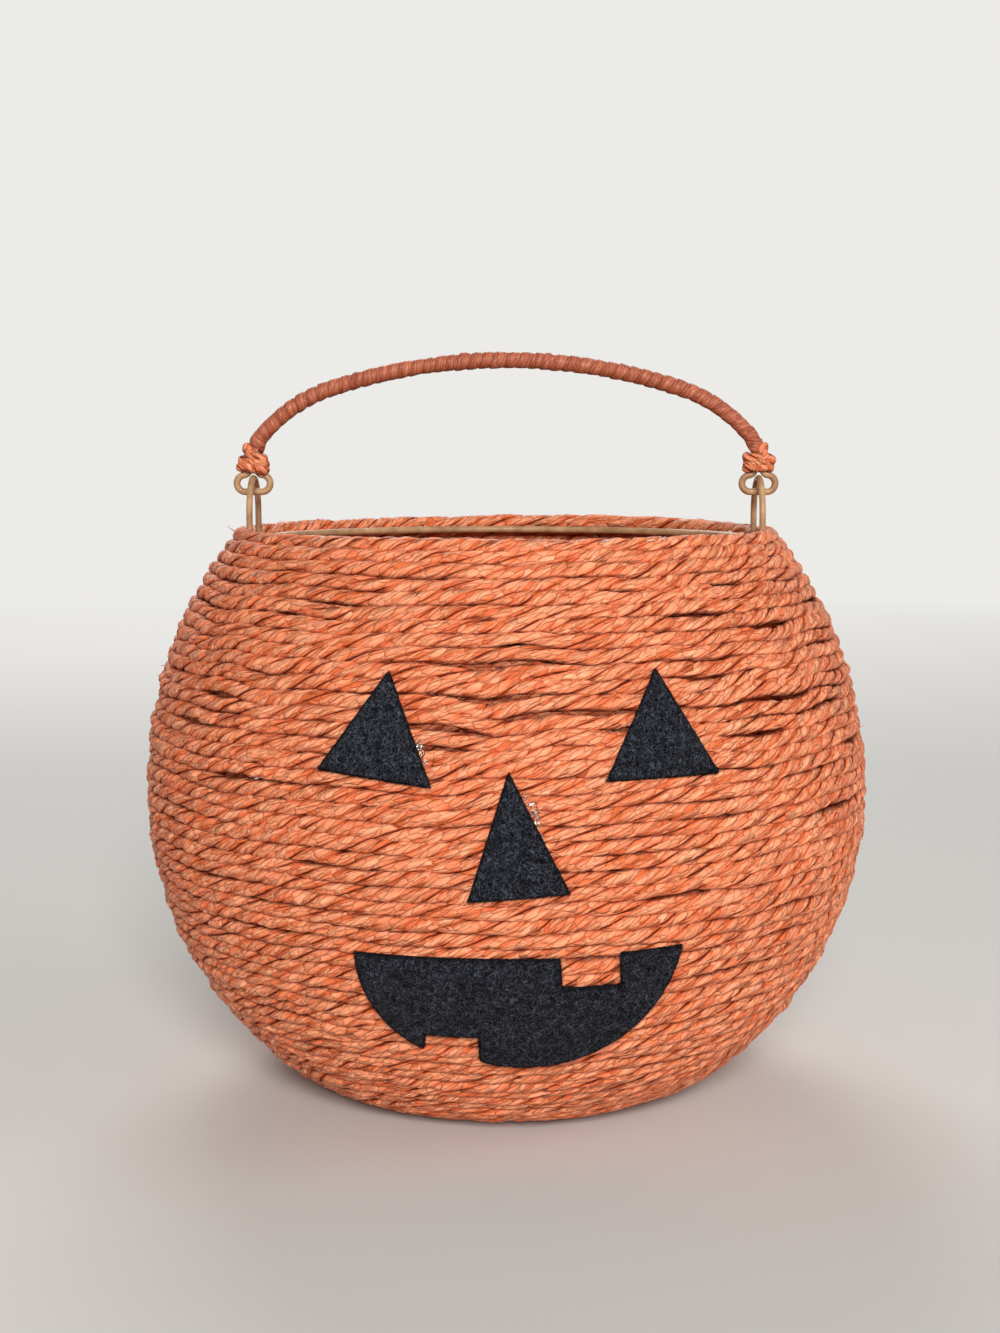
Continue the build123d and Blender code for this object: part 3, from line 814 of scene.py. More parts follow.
# Slivers that show most: row, degrees round from the front, length in millimetres, curl and lift
slivers = [(0, -80, 4.0, 2.6, 0.5), (43, 22, 4.5, 0.6, 0.7)]
for _ in range(wall_slivers):
    where = sliver_draw.integers(1, rows - bare_rows), sliver_draw.uniform(-180, 180)
    slivers.append((*where, *sliver_draw.uniform(sliver_least, sliver_most)))
print("slivers:", len(slivers))

# %% Curled ribbons
sliver_points = 9
sliver_lean = 0.6
sliver_arch = 1.3
sliver_turn = 0.3
sliver_root = 0.3 * mm
root_share = 1.1
tip_share = 0.2
front_turn = 0.25


def curled_lines(name, chosen, width, thickness, material):
    """Short curled ribbons that leave the rope at chosen places, as one piece."""
    share = np.linspace(0, 1, sliver_points)[:, None]
    lines, outs = [], []
    for row, round_from_front, size, curl, rise in chosen:
        step = first_run + int((row + (front_turn + round_from_front / 360) % 1) * points_per_row)
        outward = rope_out[step]
        ahead = rope_points[step + 1] - rope_points[step]
        ahead /= np.linalg.norm(ahead)
        upward = np.cross(outward, ahead) * sliver_draw.uniform(-sliver_lean, sliver_lean)
        forward = (ahead * np.sin(curl * share) + outward * (1 - np.cos(curl * share))) / curl
        path = forward + (outward * rise + upward) * share * (sliver_arch - share)
        lines.append(rope_points[step] + outward * (rope_half - sliver_root) + path * size * mm)
        outs.append(np.tile(outward + sliver_turn * upward, (sliver_points, 1)))
    points = np.vstack(lines)
    taper = np.tile(root_share + (tip_share - root_share) * share[:, 0], len(lines))
    spare = np.zeros(len(points))
    route = route_mesh(name, points, np.vstack(outs), spare, taper, lengths(points), spare, len(lines))
    sizes = {"Step": 0.4 * mm, "Sides": 6, "Half Height": thickness / 2, "Half Width": width / 2}
    sizes.update({"Crease": 0.0, "Overlap": 0.0, "Crumple": 0.0, "Floor": 0.0, "Material": material})
    piece = grow(name, route, winding, sizes)
    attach(piece, "pail")


sliver_width = 0.4 * mm
sliver_thickness = 0.1 * mm
curled_lines("paper_slivers", slivers, sliver_width, sliver_thickness, rope_paper)

# %% [markdown]
# ## The handle's arch
#
# The handle's wire hangs in the lugs by an eye at each end, and above each eye its tail lies beside it
# and makes a neck of two wires. From there the arch rises in a short bend, a tighter haunch and a flat
# crown, each tangent to the next. The lugs stand just inside the top row of rope, and a neck starts
# where the two wires of an eye meet over the bow of its lug.

# %% Handle arch
handle_wire_radius = 1.15 * mm
lug_wire_radius = 1.05 * mm
lug_radius = 12 * mm
hinge_lift = 4.5 * mm
handle_rise = 51 * mm
crown_radius = 186 * mm
neck_lean = radians(40)
neck_bend = 6.6 * mm
neck_gap = 0.5 * mm
neck_length = 6.74 * mm
flare_radius = 1.9 * mm
rope_clearance = 0.15 * mm
eye_clearance = 0.3 * mm

hinge_height = mouth_height + hinge_lift
handle_top = hinge_height + handle_rise
neck_half = handle_wire_radius + neck_gap / 2
top_row_radius = shoulder_centre + rope_shoulder * cos(top_angle)
lug_leg_place = top_row_radius - rope_radius - rope_clearance - lug_wire_radius
lug_place = sqrt(lug_leg_place**2 - lug_radius**2)
neck_place = lug_place - neck_half
lug_reach = flare_radius + handle_wire_radius + lug_wire_radius + eye_clearance
neck_start = hinge_height + lug_radius + sqrt(lug_reach**2 - (neck_half + flare_radius) ** 2)
neck_top = neck_start + neck_length

foot_x = neck_place - neck_bend * (1 - cos(neck_lean))
foot_z = neck_top + neck_bend * sin(neck_lean)
crown_drop = foot_z - handle_top + crown_radius
haunch_reach = foot_x * cos(neck_lean) + crown_drop * sin(neck_lean) - crown_radius
haunch_radius = (foot_x**2 + crown_drop**2 - crown_radius**2) / (2 * haunch_reach)
haunch_x = foot_x - haunch_radius * cos(neck_lean)
haunch_z = foot_z - haunch_radius * sin(neck_lean)
crown_angle = atan2(haunch_x, haunch_z - handle_top + crown_radius)
lean_length = neck_lean * neck_bend
haunch_length = (pi / 2 - neck_lean - crown_angle) * haunch_radius
arch_half = lean_length + haunch_length + crown_angle * crown_radius
print(f"necks at {neck_place / mm:.3f}, from {neck_start / mm:.3f} to {neck_top / mm:.3f} mm up")
print(f"arch: {2 * arch_half / mm:.1f} mm along, haunches of {haunch_radius / mm:.1f} mm")

# %% Points on the arch
def arch_place(from_middle):
    """Points on the handle's arch and the ways out of it, for lengths from the middle of the crown."""
    side = np.sign(from_middle)
    left = arch_half - np.abs(from_middle)
    in_lean = left < lean_length
    in_haunch = left < lean_length + haunch_length
    on_crown = pi / 2 - np.abs(from_middle) / crown_radius
    on_haunch = neck_lean + (left - lean_length) / haunch_radius
    turn_at = np.where(in_lean, left / neck_bend, np.where(in_haunch, on_haunch, on_crown))
    bend = np.where(in_lean, neck_bend, np.where(in_haunch, haunch_radius, crown_radius))
    middle_x = np.where(in_lean, neck_place - neck_bend, np.where(in_haunch, haunch_x, 0))
    middle_z = np.where(in_lean, neck_top, np.where(in_haunch, haunch_z, handle_top - crown_radius))
    out = np.stack((side * np.cos(turn_at), np.zeros_like(left), np.sin(turn_at)), axis=1)
    centre = np.stack((side * middle_x, np.zeros_like(left), middle_z), axis=1)
    return centre + out * bend[:, None], out


arch_end = arch_place(np.array([arch_half]))[0][0]
print("the arch ends at", [round(float(value) / mm, 1) for value in arch_end], "mm")

# %% [markdown]
# ## The handle's wrapping
#
# A strip of the same paper is wound edge to edge along the wire. It shows as slanting ridges about 4 mm
# apart. The route is a helix round the arch, and the winding tree sweeps a flat section along it, wide
# enough that each turn meets the next.

# %% Handle wrapping
wrap_pitch = 4.0 * mm
wrap_half_height = 0.78 * mm
wrap_half_width = 2.9 * mm
wrap_press = 0.1 * mm
wrap_overrun = 0.8 * mm
wrap_slack = 0.35
wrap_swell_share = 0.05
wrap_tilt = 0.13
wrap_tilt_slack = 0.06
wrap_steps = 40
wrap_draw = np.random.default_rng(12)

wrap_reach = handle_wire_radius + wrap_half_height - wrap_press
wrap_turns = int(2 * arch_half / wrap_pitch)
wrap_end = arch_half + wrap_overrun
from_middle = np.linspace(-wrap_end, wrap_end, wrap_turns * wrap_steps + 1)
middle, out = arch_place(from_middle)
uneven = wrap_slack * slow_noise(wrap_draw, len(from_middle), width=45)
spin = (2 * pi * from_middle / wrap_pitch + uneven)[:, None]
around = out * np.cos(spin) + np.array([0, 1, 0]) * np.sin(spin)
wrap_points = middle + around * wrap_reach
wrap_along = lengths(wrap_points)
wrap_girth = 1 + wrap_swell_share * slow_noise(wrap_draw, len(from_middle), width=14)
wrap_twist = wrap_tilt + wrap_tilt_slack * slow_noise(wrap_draw, len(from_middle), width=30)
covered = np.ones(len(from_middle))
route = route_mesh("handle_wrapping", wrap_points, around, wrap_twist, wrap_girth, wrap_along, covered)
sizes = {"Step": 0.55 * mm, "Sides": 14, "Half Height": wrap_half_height, "Half Width": wrap_half_width}
sizes.update({"Crease": 0.0, "Overlap": 0.0, "Crumple": 0.35 * mm, "Material": cord_paper})
piece = grow("handle_wrapping", route, winding, sizes)
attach(piece, "handle")
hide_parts("handle_wrap_left", "handle_wrap_right")
print(f"wrapping: {wrap_turns} turns, {wrap_along[-1]:.2f} m of strip")

# %% [markdown]
# ## The bindings
#
# Cord of the wall's paler paper binds the two wires of each neck. Its turns go round both wires, so
# their path is a stadium: two half circles with short straights between them. They are thick, uneven and
# pressed together, so that they read as one lump. The end of the cord stands up as a short stub.

# %% Sizes of a binding
binding_turns = 2.5
binding_begin = 0.5
binding_half = 1.4 * mm
binding_wide_share = 1.25
binding_press = 0.1 * mm
binding_low = 0.2 * mm
binding_top = 2.4 * mm
binding_slack = 0.3 * mm
binding_swell = 0.15 * mm
binding_swell_share = 0.1
binding_lay = 9 * mm
binding_steps = 150
binding_draw = np.random.default_rng(5)
# Just short of the end, where the last point would jump back to the start of a lap
binding_stop = 0.9999
# The stub: outwards, backwards and up from the top of the outer wire, and its girths
stub_path = np.array([[-0.2, -1.3, -0.6], [0, -0.5, 0.4], [0.1, 0.7, 0.6]]) * mm
stub_girths = 1.15, 1.15, 0.9

binding_reach = handle_wire_radius + binding_half - binding_press
bound = np.linspace(0, 1, binding_steps + 1)
half_round = pi * binding_reach
lap = 2 * half_round + 4 * neck_half
print(f"a turn of a binding is {lap / mm:.1f} mm long")

# %% Bindings
for side, name in ((-1, "left_binding"), (1, "right_binding")):
    walked = ((binding_begin + bound * binding_turns * binding_stop) % 1) * lap
    first_round = np.clip(walked, 0, half_round) / binding_reach
    straight = np.clip(walked - half_round, 0, 2 * neck_half)
    second_round = np.clip(walked - half_round - 2 * neck_half, 0, half_round) / binding_reach
    back = np.clip(walked - 2 * half_round - 2 * neck_half, 0, 2 * neck_half)
    facing = first_round + second_round
    out = np.stack((side * np.sin(facing), -np.cos(facing), np.zeros_like(facing)), axis=1)
    shift = neck_half - straight + back
    tall = neck_start - binding_low + bound * (neck_top - neck_start + binding_low - binding_top)
    tall = tall + binding_slack * slow_noise(binding_draw, len(bound), width=9)
    core = np.stack((side * (lug_place + shift), np.zeros_like(shift), tall), axis=1)
    swell = binding_swell * slow_noise(binding_draw, len(bound), width=7)
    points = core + out * (binding_reach + swell)[:, None]
    stub_foot = np.array([side * (lug_place + neck_half), 0, neck_top])
    points = np.vstack((points, stub_foot + stub_path * np.array([side, 1, 1])))
    out = np.vstack((out, np.repeat(out[-1:], len(stub_path), axis=0)))
    along = lengths(points)
    girth = 1 + binding_swell_share * slow_noise(binding_draw, len(points), width=8)
    girth[-len(stub_path):] = stub_girths
    twist = 2 * pi * along / binding_lay
    sizes = {"Step": 0.5 * mm, "Sides": 16, "Half Height": binding_half}
    sizes.update({"Half Width": binding_half * binding_wide_share, "Crease": 0.3 * mm})
    sizes.update({"Overlap": 0.15 * mm, "Crumple": 0.7 * mm, "Material": rope_paper})
    route = route_mesh(name, points, out, twist, girth, along, np.ones(len(points)))
    piece = grow(name + "_cord", route, winding, sizes)
    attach(piece, "handle")
    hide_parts(name)

# %% [markdown]
# ## Felt
#
# The eyes, nose and mouth are cut from charcoal craft felt, about 1.5 mm thick. Felt is a mat of fine
# fibres with no weave: up close it shows short blue-grey streaks in every direction over near-black.
# The streaks are noise stretched along six directions, three of them fine and three broad.

# %% Fibre mat group
# Layers of fibres: how much broader than one fibre, and the directions in which they lie
fibre_layers = (1.6, (0.3, 1.35, 2.4)), (3.6, (0.8, 1.7, 2.7))
fibre_stretch = 4.5, 2.0, 1.0
fibre_range = 0.57, 0.7
clump_stretch = 0.25, 0.25, 0.25

streaks, given, made = new_group(
    "ShaderNodeTree",
    "Fibre mat",
    {"Vector": ("Vector", None), "Fibre Width": ("Float", 0.12 * mm)},
    {"Fibres": "Float", "Clumps": "Float"},
)
layers = []
for width, tilts in fibre_layers:
    scale = sums(streaks, "DIVIDE", 1.0 / width, given["Fibre Width"])
    inputs = {0: given["Vector"], "Scale": scale}
    fine_place = place(streaks, "ShaderNodeVectorMath", inputs, operation="SCALE").outputs[0]
    crossed = 0.0
    for tilt in tilts:
        way = {"Vector": fine_place, "Rotation": (0.0, tilt, 0.0), "Scale": fibre_stretch}
        turned_place = place(streaks, "ShaderNodeMapping", way, vector_type="TEXTURE").outputs[0]
        bent = noise(streaks, turned_place, roughness=0.6, distortion=1.2)
        crossed = sums(streaks, "MAXIMUM", span(streaks, bent, *fibre_range), crossed)
    layers.append(crossed)
fibres = sums(streaks, "MULTIPLY_ADD", layers[1], 0.5, sums(streaks, "MULTIPLY", layers[0], 0.5))
clumps = noise(streaks, scaled(streaks, fine_place, clump_stretch), detail=3.0, roughness=0.6)
streaks.links.new(fibres, made["Fibres"])
streaks.links.new(span(streaks, clumps, 0.3, 0.7), made["Clumps"])
print(streaks.name, "has", len(streaks.nodes), "nodes")

# %% Felt material
def felt_material(name, ground, fibre, fibre_width):
    """Felt of a ground shade with paler fibres in it."""
    material, tree, shader = new_material(name, {"Roughness": 0.95, "Specular IOR Level": 0.05})
    shader["Sheen Weight"].default_value = 0.02
    shader["Sheen Roughness"].default_value = 0.45
    inputs = {"Vector": place(tree, "ShaderNodeTexCoord").outputs["Object"], "Fibre Width": fibre_width}
    mat = place(tree, "ShaderNodeGroup", inputs, node_tree=streaks).outputs
    share = sums(tree, "MULTIPLY_ADD", mat["Clumps"], 0.6, 0.5)
    share = sums(tree, "MULTIPLY", mat["Fibres"], share)
    tree.links.new(mixed(tree, share, ground, fibre), shader["Base Color"])
    bump = {"Height": mat["Fibres"], "Strength": 0.8, "Distance": 0.3 * mm}
    tree.links.new(place(tree, "ShaderNodeBump", bump).outputs[0], shader["Normal"])
    return material


mat_shades = colour(0, 0, 1), colour(114, 118, 133)
fuzz_shades = colour(5, 5, 7), colour(44, 46, 54)
felt_black = felt_material("charcoal_felt", *mat_shades, fibre_width=0.15 * mm)
fuzz_grey = felt_material("felt_fibres", *fuzz_shades, fibre_width=0.3 * mm)
print("felt:", felt_black.name, "and", fuzz_grey.name)

# %% [markdown]
# ## Places on the wall
#
# The felt and the beads of glue are placed as the front view shows them, by how far across and how high
# they are. The wall's two large arcs give the radius and the way out at each height, and with them the
# point that lies on the wall there, or a little above it.

# %% Places on the wall
def wall_radius(level):
    """Radius of the wall over the rope at a height."""
    over = level - belly_height
    if over > 0:
        return shoulder_centre + sqrt(shoulder_radius**2 - over**2)
    return lower_centre + sqrt(lower_radius**2 - over**2)


def wall_out(level):
    """How far outwards and how far up the wall faces at a height."""
    over = level - belly_height
    rise = over / (shoulder_radius if over > 0 else lower_radius)
    return sqrt(1 - rise**2), rise


def on_wall(x, level, above):
    """The point above the wall that the front view shows at x and level."""
    run, rise = wall_out(level)
    ring = wall_radius(level) + above * run
    return Vector((x, -sqrt(ring**2 - x**2), level + above * rise))


print(f"wall: {wall_radius(belly_height) / mm:.1f} mm from the axis at the belly")

# %% [markdown]
# ## Outlines of the face
#
# Eyes and nose are three plain cuts each, but no two are alike: each leans its own way, and its apex is
# off the middle. The mouth is a crescent. One tooth is cut down into it from the straight upper edge, and
# one is cut up into it from the lip, which curves in two arcs.

# %% Triangles and arcs
arc_points = 14


def triangle(middle, level, width, tall, tilt, apex_share):
    """Corners of a tilted triangle of felt, seen from the front."""
    across = Vector((cos(radians(tilt)), sin(radians(tilt))))
    up = Vector((-across.y, across.x))
    left = Vector((middle, level)) - across * (width / 2)
    return [left, left + across * width, left + across * (width * apex_share) + up * tall]


def arc(start, through, stop):
    """Points on the arc from start through a middle point to stop, without its two ends."""
    ax, ay = start
    bx, by = through
    cx, cy = stop
    double = 2 * (ax * (by - cy) + bx * (cy - ay) + cx * (ay - by))
    squares = ax**2 + ay**2, bx**2 + by**2, cx**2 + cy**2
    x = (squares[0] * (by - cy) + squares[1] * (cy - ay) + squares[2] * (ay - by)) / double
    y = (squares[0] * (cx - bx) + squares[1] * (ax - cx) + squares[2] * (bx - ax)) / double
    begin = atan2(ay - y, ax - x)
    sweep = (atan2(cy - y, cx - x) - begin) % (2 * pi)
    if (atan2(by - y, bx - x) - begin) % (2 * pi) > sweep:
        sweep -= 2 * pi
    size = hypot(ax - x, ay - y)
    angles = [begin + sweep * n / arc_points for n in range(1, arc_points)]
    return [Vector((x + size * cos(a), y + size * sin(a))) for a in angles]


print("an arc has", len(arc((1, 0), (cos(pi / 4), sin(pi / 4)), (0, 1))), "points between its ends")

# %% Outline of the mouth
face_centre = 3.7 * mm
smile_level = 69.2 * mm
smile_size = 94.6 * mm, 36.7 * mm
smile_tooth_shares = ((0.125, -0.035), (0.131, -0.29), (0.313, -0.29), (0.308, -0.01))
smile_lower_tooth_shares = ((-0.123, -0.722), (-0.2875, -0.717), (-0.293, -0.856))


def smile_point(shares):
    """A corner of the mouth, from its shares of the mouth's width and height."""
    across = face_centre + shares[0] * smile_size[0]
    return Vector((across, smile_level + shares[1] * smile_size[1]))


left_corner = smile_point((-0.5, -0.03))
right_corner = smile_point((0.5, 0.01))
lip_right = smile_point((0.319, -0.763))
lip_end = smile_point((-0.118, -0.962))
lower_tooth = [smile_point(shares) for shares in smile_lower_tooth_shares]
lip_left = smile_point((-0.4186, -0.597))
smile = [left_corner] + [smile_point(shares) for shares in smile_tooth_shares] + [right_corner]
smile += arc(right_corner, lip_right, lip_end) + [lip_end] + lower_tooth
smile += arc(lower_tooth[-1], lip_left, left_corner)
print(f"mouth: {smile_size[0] / mm:.1f} mm across, {len(smile)} points")

# %% Outlines of the face
eye_level = 119.1 * mm
eye_size = 33.0 * mm, 30.0 * mm
eye_half_spread = 41.1 * mm
nose_level = 86.4 * mm
nose_size = 28.9 * mm, 35.6 * mm

left_eye_place = face_centre - eye_half_spread
right_eye_place = face_centre + eye_half_spread
face_outlines = {
    "left_eye": triangle(left_eye_place, eye_level, *eye_size, tilt=-6.3, apex_share=0.527),
    "right_eye": triangle(right_eye_place, eye_level, *eye_size, tilt=0.5, apex_share=0.444),
    "nose": triangle(face_centre, nose_level, *nose_size, tilt=4.4, apex_share=0.493),
    "mouth": smile,
}
print("points of each outline:", {name: len(outline) for name, outline in face_outlines.items()})

# %% [markdown]
# ## The felt face
#
# Each patch is drawn flat, seen from the front, and then laid on the wall. A triangulation of the
# outline with rows of points inside bends with the round wall, which an outline alone would cut
# across. The edge is softened over half a millimetre, as scissors leave it, and the rope's rows press
# through very slightly.

# %% Inside an outline
def edge_distance(point, outline):
    """Distance from a point to the nearest side of an outline."""
    least = 1.0
    for n, corner in enumerate(outline):
        side = outline[n - 1] - corner
        share = min(1, max(0, (point - corner).dot(side) / side.dot(side)))
        least = min(least, (point - corner - side * share).length)
    return least


def inside(point, outline):
    """Whether a point lies inside an outline."""
    crossings = 0
    for n, corner in enumerate(outline):
        before = outline[n - 1]
        if (corner.y > point.y) != (before.y > point.y):
            share = (point.y - corner.y) / (before.y - corner.y)
            crossings += point.x < corner.x + share * (before.x - corner.x)
    return crossings % 2 == 1


nose_middle = Vector((face_centre, nose_level + nose_size[1] / 3))
print("the middle of the nose lies inside it:", inside(nose_middle, face_outlines["nose"]))

# %% Points of a patch
felt_grid = 1.6 * mm
felt_soft = 0.55 * mm
felt_jitter = 0.25
soft_rows = 0.3 * felt_soft, felt_soft
soft_spare = 0.9
grid_spare = 1.5 * felt_soft
felt_draw = np.random.default_rng(8)


def edge_points(outline):
    """The outline with points added along its sides."""
    dense = []
    for n, corner in enumerate(outline):
        side = corner - outline[n - 1]
        count = max(1, round(side.length / felt_grid))
        dense += [outline[n - 1] + side * (k / count) for k in range(count)]
    return dense


def inner_points(rim, outline, low, high):
    """Two rows of points along the cut edge, and a loose grid of points inside them."""
    inner = []
    for n, point in enumerate(rim):
        side = rim[(n + 1) % len(rim)] - rim[n - 1]
        square = Vector((-side.y, side.x)).normalized()
        for depth in soft_rows:
            for step in (point + square * depth, point - square * depth):
                if inside(step, outline) and edge_distance(step, outline) > soft_spare * depth:
                    inner.append(step)
    for row in range(int((high[1] - low[1]) / felt_grid)):
        for column in range(int((high[0] - low[0]) / felt_grid)):
            jitter = Vector(felt_draw.uniform(-felt_jitter, felt_jitter, 2)) * felt_grid
            step = Vector((low[0] + (column + 0.5) * felt_grid, low[1] + (row + 0.5) * felt_grid)) + jitter
            if inside(step, outline) and edge_distance(step, outline) > grid_spare:
                inner.append(step)
    return inner


edge_counts = {name: len(edge_points(outline)) for name, outline in face_outlines.items()}
print("points along the edges:", edge_counts)

# %% [markdown]
# ## From points to felt
#
# The triangulation gives the face of a patch. Its back is the same mesh a felt's thickness lower, sunk a
# little into the glue, and a wall of quads closes the edge between them. The flat size that scissors
# would cut is measured along the wall, round it and up it.

# %% Flat size and closed sheet
def flat_size(low, high):
    """Width and height of a patch, unrolled from the wall."""
    ring = wall_radius((low[1] + high[1]) / 2)
    around = [asin(x / ring) for x in (low[0], high[0])]
    tilt = [asin(wall_out(level)[1]) for level in (low[1], high[1])]
    length = (max(tilt[1], 0) - max(tilt[0], 0)) * shoulder_radius
    length += (min(tilt[1], 0) - min(tilt[0], 0)) * lower_radius
    return (around[1] - around[0]) * ring, length


def closed_sheet(name, front, back, faces):
    """A mesh from a triangulated front, the same back, and a wall between their borders."""
    count = len(front)
    sided = {}
    for face in faces:
        for n, first in enumerate(face):
            sided[(first, face[(n + 1) % len(face)])] = face
    border = [pair for pair in sided if (pair[1], pair[0]) not in sided]
    walls = [(b, a, a + count, b + count) for a, b in border]
    under = [tuple(n + count for n in reversed(face)) for face in faces]
    mesh = bpy.data.meshes.new(name)
    mesh.from_pydata(front + back, [], [tuple(face) for face in faces] + under + walls)
    shaped = bmesh.new()
    shaped.from_mesh(mesh)
    bmesh.ops.recalc_face_normals(shaped, faces=shaped.faces)
    shaped.to_mesh(mesh)
    shaped.free()
    mesh.shade_smooth()
    return mesh


# %% Felt patch
felt_thickness = 1.5 * mm
glue_thickness = 0.5 * mm
glue_sink = 0.15 * mm
edge_share = 0.45
press_depth = 0.05 * mm
press_pitch = 4.4 * mm
edge_hair = 20
same_point = 1e-7


def felt_patch(name, outline):
    """A closed mesh of felt on the wall, its cut width and height, and its cut area."""
    rim = edge_points(outline)
    low = [min(p[k] for p in rim) for k in (0, 1)]
    high = [max(p[k] for p in rim) for k in (0, 1)]
    points = rim + inner_points(rim, outline, low, high)
    ring_edges = [(n, (n + 1) % len(rim)) for n in range(len(rim))]
    flat_points, _, faces, _, _, _ = delaunay_2d_cdt(points, ring_edges, [], 1, same_point)
    distances = [min(1, edge_distance(point, outline) / felt_soft) for point in flat_points]
    front, back = [], []
    for point, distance in zip(flat_points, distances):
        press = press_depth * sin(2 * pi * point.y / press_pitch) * distance
        rounded = edge_share + (1 - edge_share) * sqrt(1 - (1 - distance) ** 2)
        front.append(on_wall(point.x, point.y, glue_thickness + felt_thickness * rounded + press))
        back.append(on_wall(point.x, point.y, glue_thickness - glue_sink))
    mesh = closed_sheet(name, front, back, faces)
    mesh.materials.append(felt_black)
    hairy = [1 + edge_hair * (1 - distance) for distance in distances] + [0.0] * len(back)
    mesh.attributes.new("hairy", "FLOAT", "POINT").data.foreach_set("value", hairy)
    piece = bpy.data.objects.new(name, mesh)
    scene.collection.objects.link(piece)
    area = sum(face.area for face in mesh.polygons[: len(faces)])
    return piece, flat_size(low, high), area


# %% [markdown]
# ## Loose fibres on the felt
#
# What tells felt from painted card is the fuzz: hairs that stand off its face and cross its cut edge.
# One hair is a short bent line with a three-sided section. Geometry Nodes scatter some thousands of
# them over each patch, each turned at random about the way that the felt faces there. They stand
# thickest along the cut edge, and none are spent on the back, which is glued down.

# %% Fibre tree, one hair
hair_bow_share = 0.35

fuzz, given, made = new_group(
    "GeometryNodeTree",
    "Felt fibres",
    {
        "Geometry": ("Geometry", None),
        "Density": ("Float", 0.6e6),
        "Hair Length": ("Float", 1.8 * mm),
        "Hair Lift": ("Float", 0.25 * mm),
        "Hair Radius": ("Float", 0.03 * mm),
        "Seed": ("Int", 4),
        "Material": ("Material", None),
    },
    {"Geometry": "Geometry"},
)
half_hair = sums(fuzz, "MULTIPLY", given["Hair Length"], 0.5)
ends = []
for side in (-1, 1):
    reach = sums(fuzz, "MULTIPLY", half_hair, side)
    ends.append(place(fuzz, "ShaderNodeCombineXYZ", {0: reach}).outputs[0])
bend = {0: 0.0, 1: sums(fuzz, "MULTIPLY", half_hair, hair_bow_share), 2: given["Hair Lift"]}
bend = place(fuzz, "ShaderNodeCombineXYZ", bend).outputs[0]
inputs = {"Resolution": 4, "Start": ends[0], "Middle": bend, "End": ends[1]}
hair = place(fuzz, "GeometryNodeCurveQuadraticBezier", inputs).outputs[0]
inputs = {"Resolution": 3, "Radius": given["Hair Radius"]}
hair_ring = place(fuzz, "GeometryNodeCurvePrimitiveCircle", inputs).outputs[0]
inputs = {"Curve": hair, "Profile Curve": hair_ring}
hair = place(fuzz, "GeometryNodeCurveToMesh", inputs).outputs[0]
print("one hair:", len(fuzz.nodes), "nodes so far")

# %% Fibre tree, the scatter
hair_share_range = 0.5, 1.25

density = sums(fuzz, "MULTIPLY", named(fuzz, "hairy"), given["Density"])
inputs = {"Mesh": given["Geometry"], "Density": density, "Seed": given["Seed"]}
scatter = place(fuzz, "GeometryNodeDistributePointsOnFaces", inputs, distribute_method="RANDOM").outputs
draw = {2: -pi, 3: pi, "Seed": given["Seed"]}
spin = place(fuzz, "FunctionNodeRandomValue", draw, data_type="FLOAT").outputs[1]
spin = place(fuzz, "ShaderNodeCombineXYZ", {2: spin}).outputs[0]
inputs = {"Rotation": scatter["Rotation"], "Rotate By": spin}
turned = place(fuzz, "FunctionNodeRotateRotation", inputs, rotation_space="LOCAL").outputs[0]
draw = {2: hair_share_range[0], 3: hair_share_range[1], "Seed": 1}
size = place(fuzz, "FunctionNodeRandomValue", draw, data_type="FLOAT").outputs[1]
inputs = {"Points": scatter["Points"], "Instance": hair, "Rotation": turned, "Scale": size}
hairs = place(fuzz, "GeometryNodeInstanceOnPoints", inputs).outputs[0]
hairs = place(fuzz, "GeometryNodeRealizeInstances", {"Geometry": hairs}).outputs[0]
inputs = {"Geometry": hairs, "Material": given["Material"]}
hairs = place(fuzz, "GeometryNodeSetMaterial", inputs).outputs[0]
fuzz.links.new(hairs, made["Geometry"])
print(fuzz.name, "has", len(fuzz.nodes), "nodes")

# %% Lay the face on the wall
for name, outline in face_outlines.items():
    patch, flat, area = felt_patch(f"{name}_patch", outline)
    hairs = grow(f"{name}_fuzz", patch.data.copy(), fuzz, {"Material": fuzz_grey})
    for piece in (patch, hairs):
        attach(piece, "pail")
    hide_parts(f"{name}_felt")
    print(f"{name}: cut {flat[0] / mm:.1f} by {flat[1] / mm:.1f} mm, {area / mm**2:.0f} square mm")

# %% [markdown]
# ## Wire and glue
#
# The wires of the frame, the lugs and the handle keep their mechanical shapes. They are dipped in a
# tan-gold paint that pools slightly and is rubbed thin in small spots here and there. The films of glue
# behind the felt are clear and glossy.

# %% Wire paint
# Features for each metre
pool_cells = 160, 160, 160
grain_cells = 1500, 1500, 1500

wire_paint, tree, shader = new_material("tan_wire_paint", {"Specular IOR Level": 0.4, "Coat Weight": 0.04})
position = place(tree, "ShaderNodeTexCoord").outputs["Object"]
pool = noise(tree, scaled(tree, position, pool_cells), detail=4.0, roughness=0.6)
grain = noise(tree, scaled(tree, position, grain_cells), detail=3.0, roughness=0.6)
tone = mixed(tree, span(tree, pool, 0.35, 0.68), colour(150, 108, 74), colour(190, 148, 104))
tone = mixed(tree, span(tree, grain, 0.62, 0.78, 0.0, 0.6), tone, colour(110, 76, 52))
tree.links.new(tone, shader["Base Color"])
tree.links.new(span(tree, pool, 0.3, 0.7, 0.6, 0.42), shader["Roughness"])
bump = {"Height": grain, "Strength": 0.25, "Distance": 0.1 * mm}
tree.links.new(place(tree, "ShaderNodeBump", bump).outputs[0], shader["Normal"])
print("wire:", wire_paint.name)

# %% Clear glue
ripple_cells = 500, 500, 500

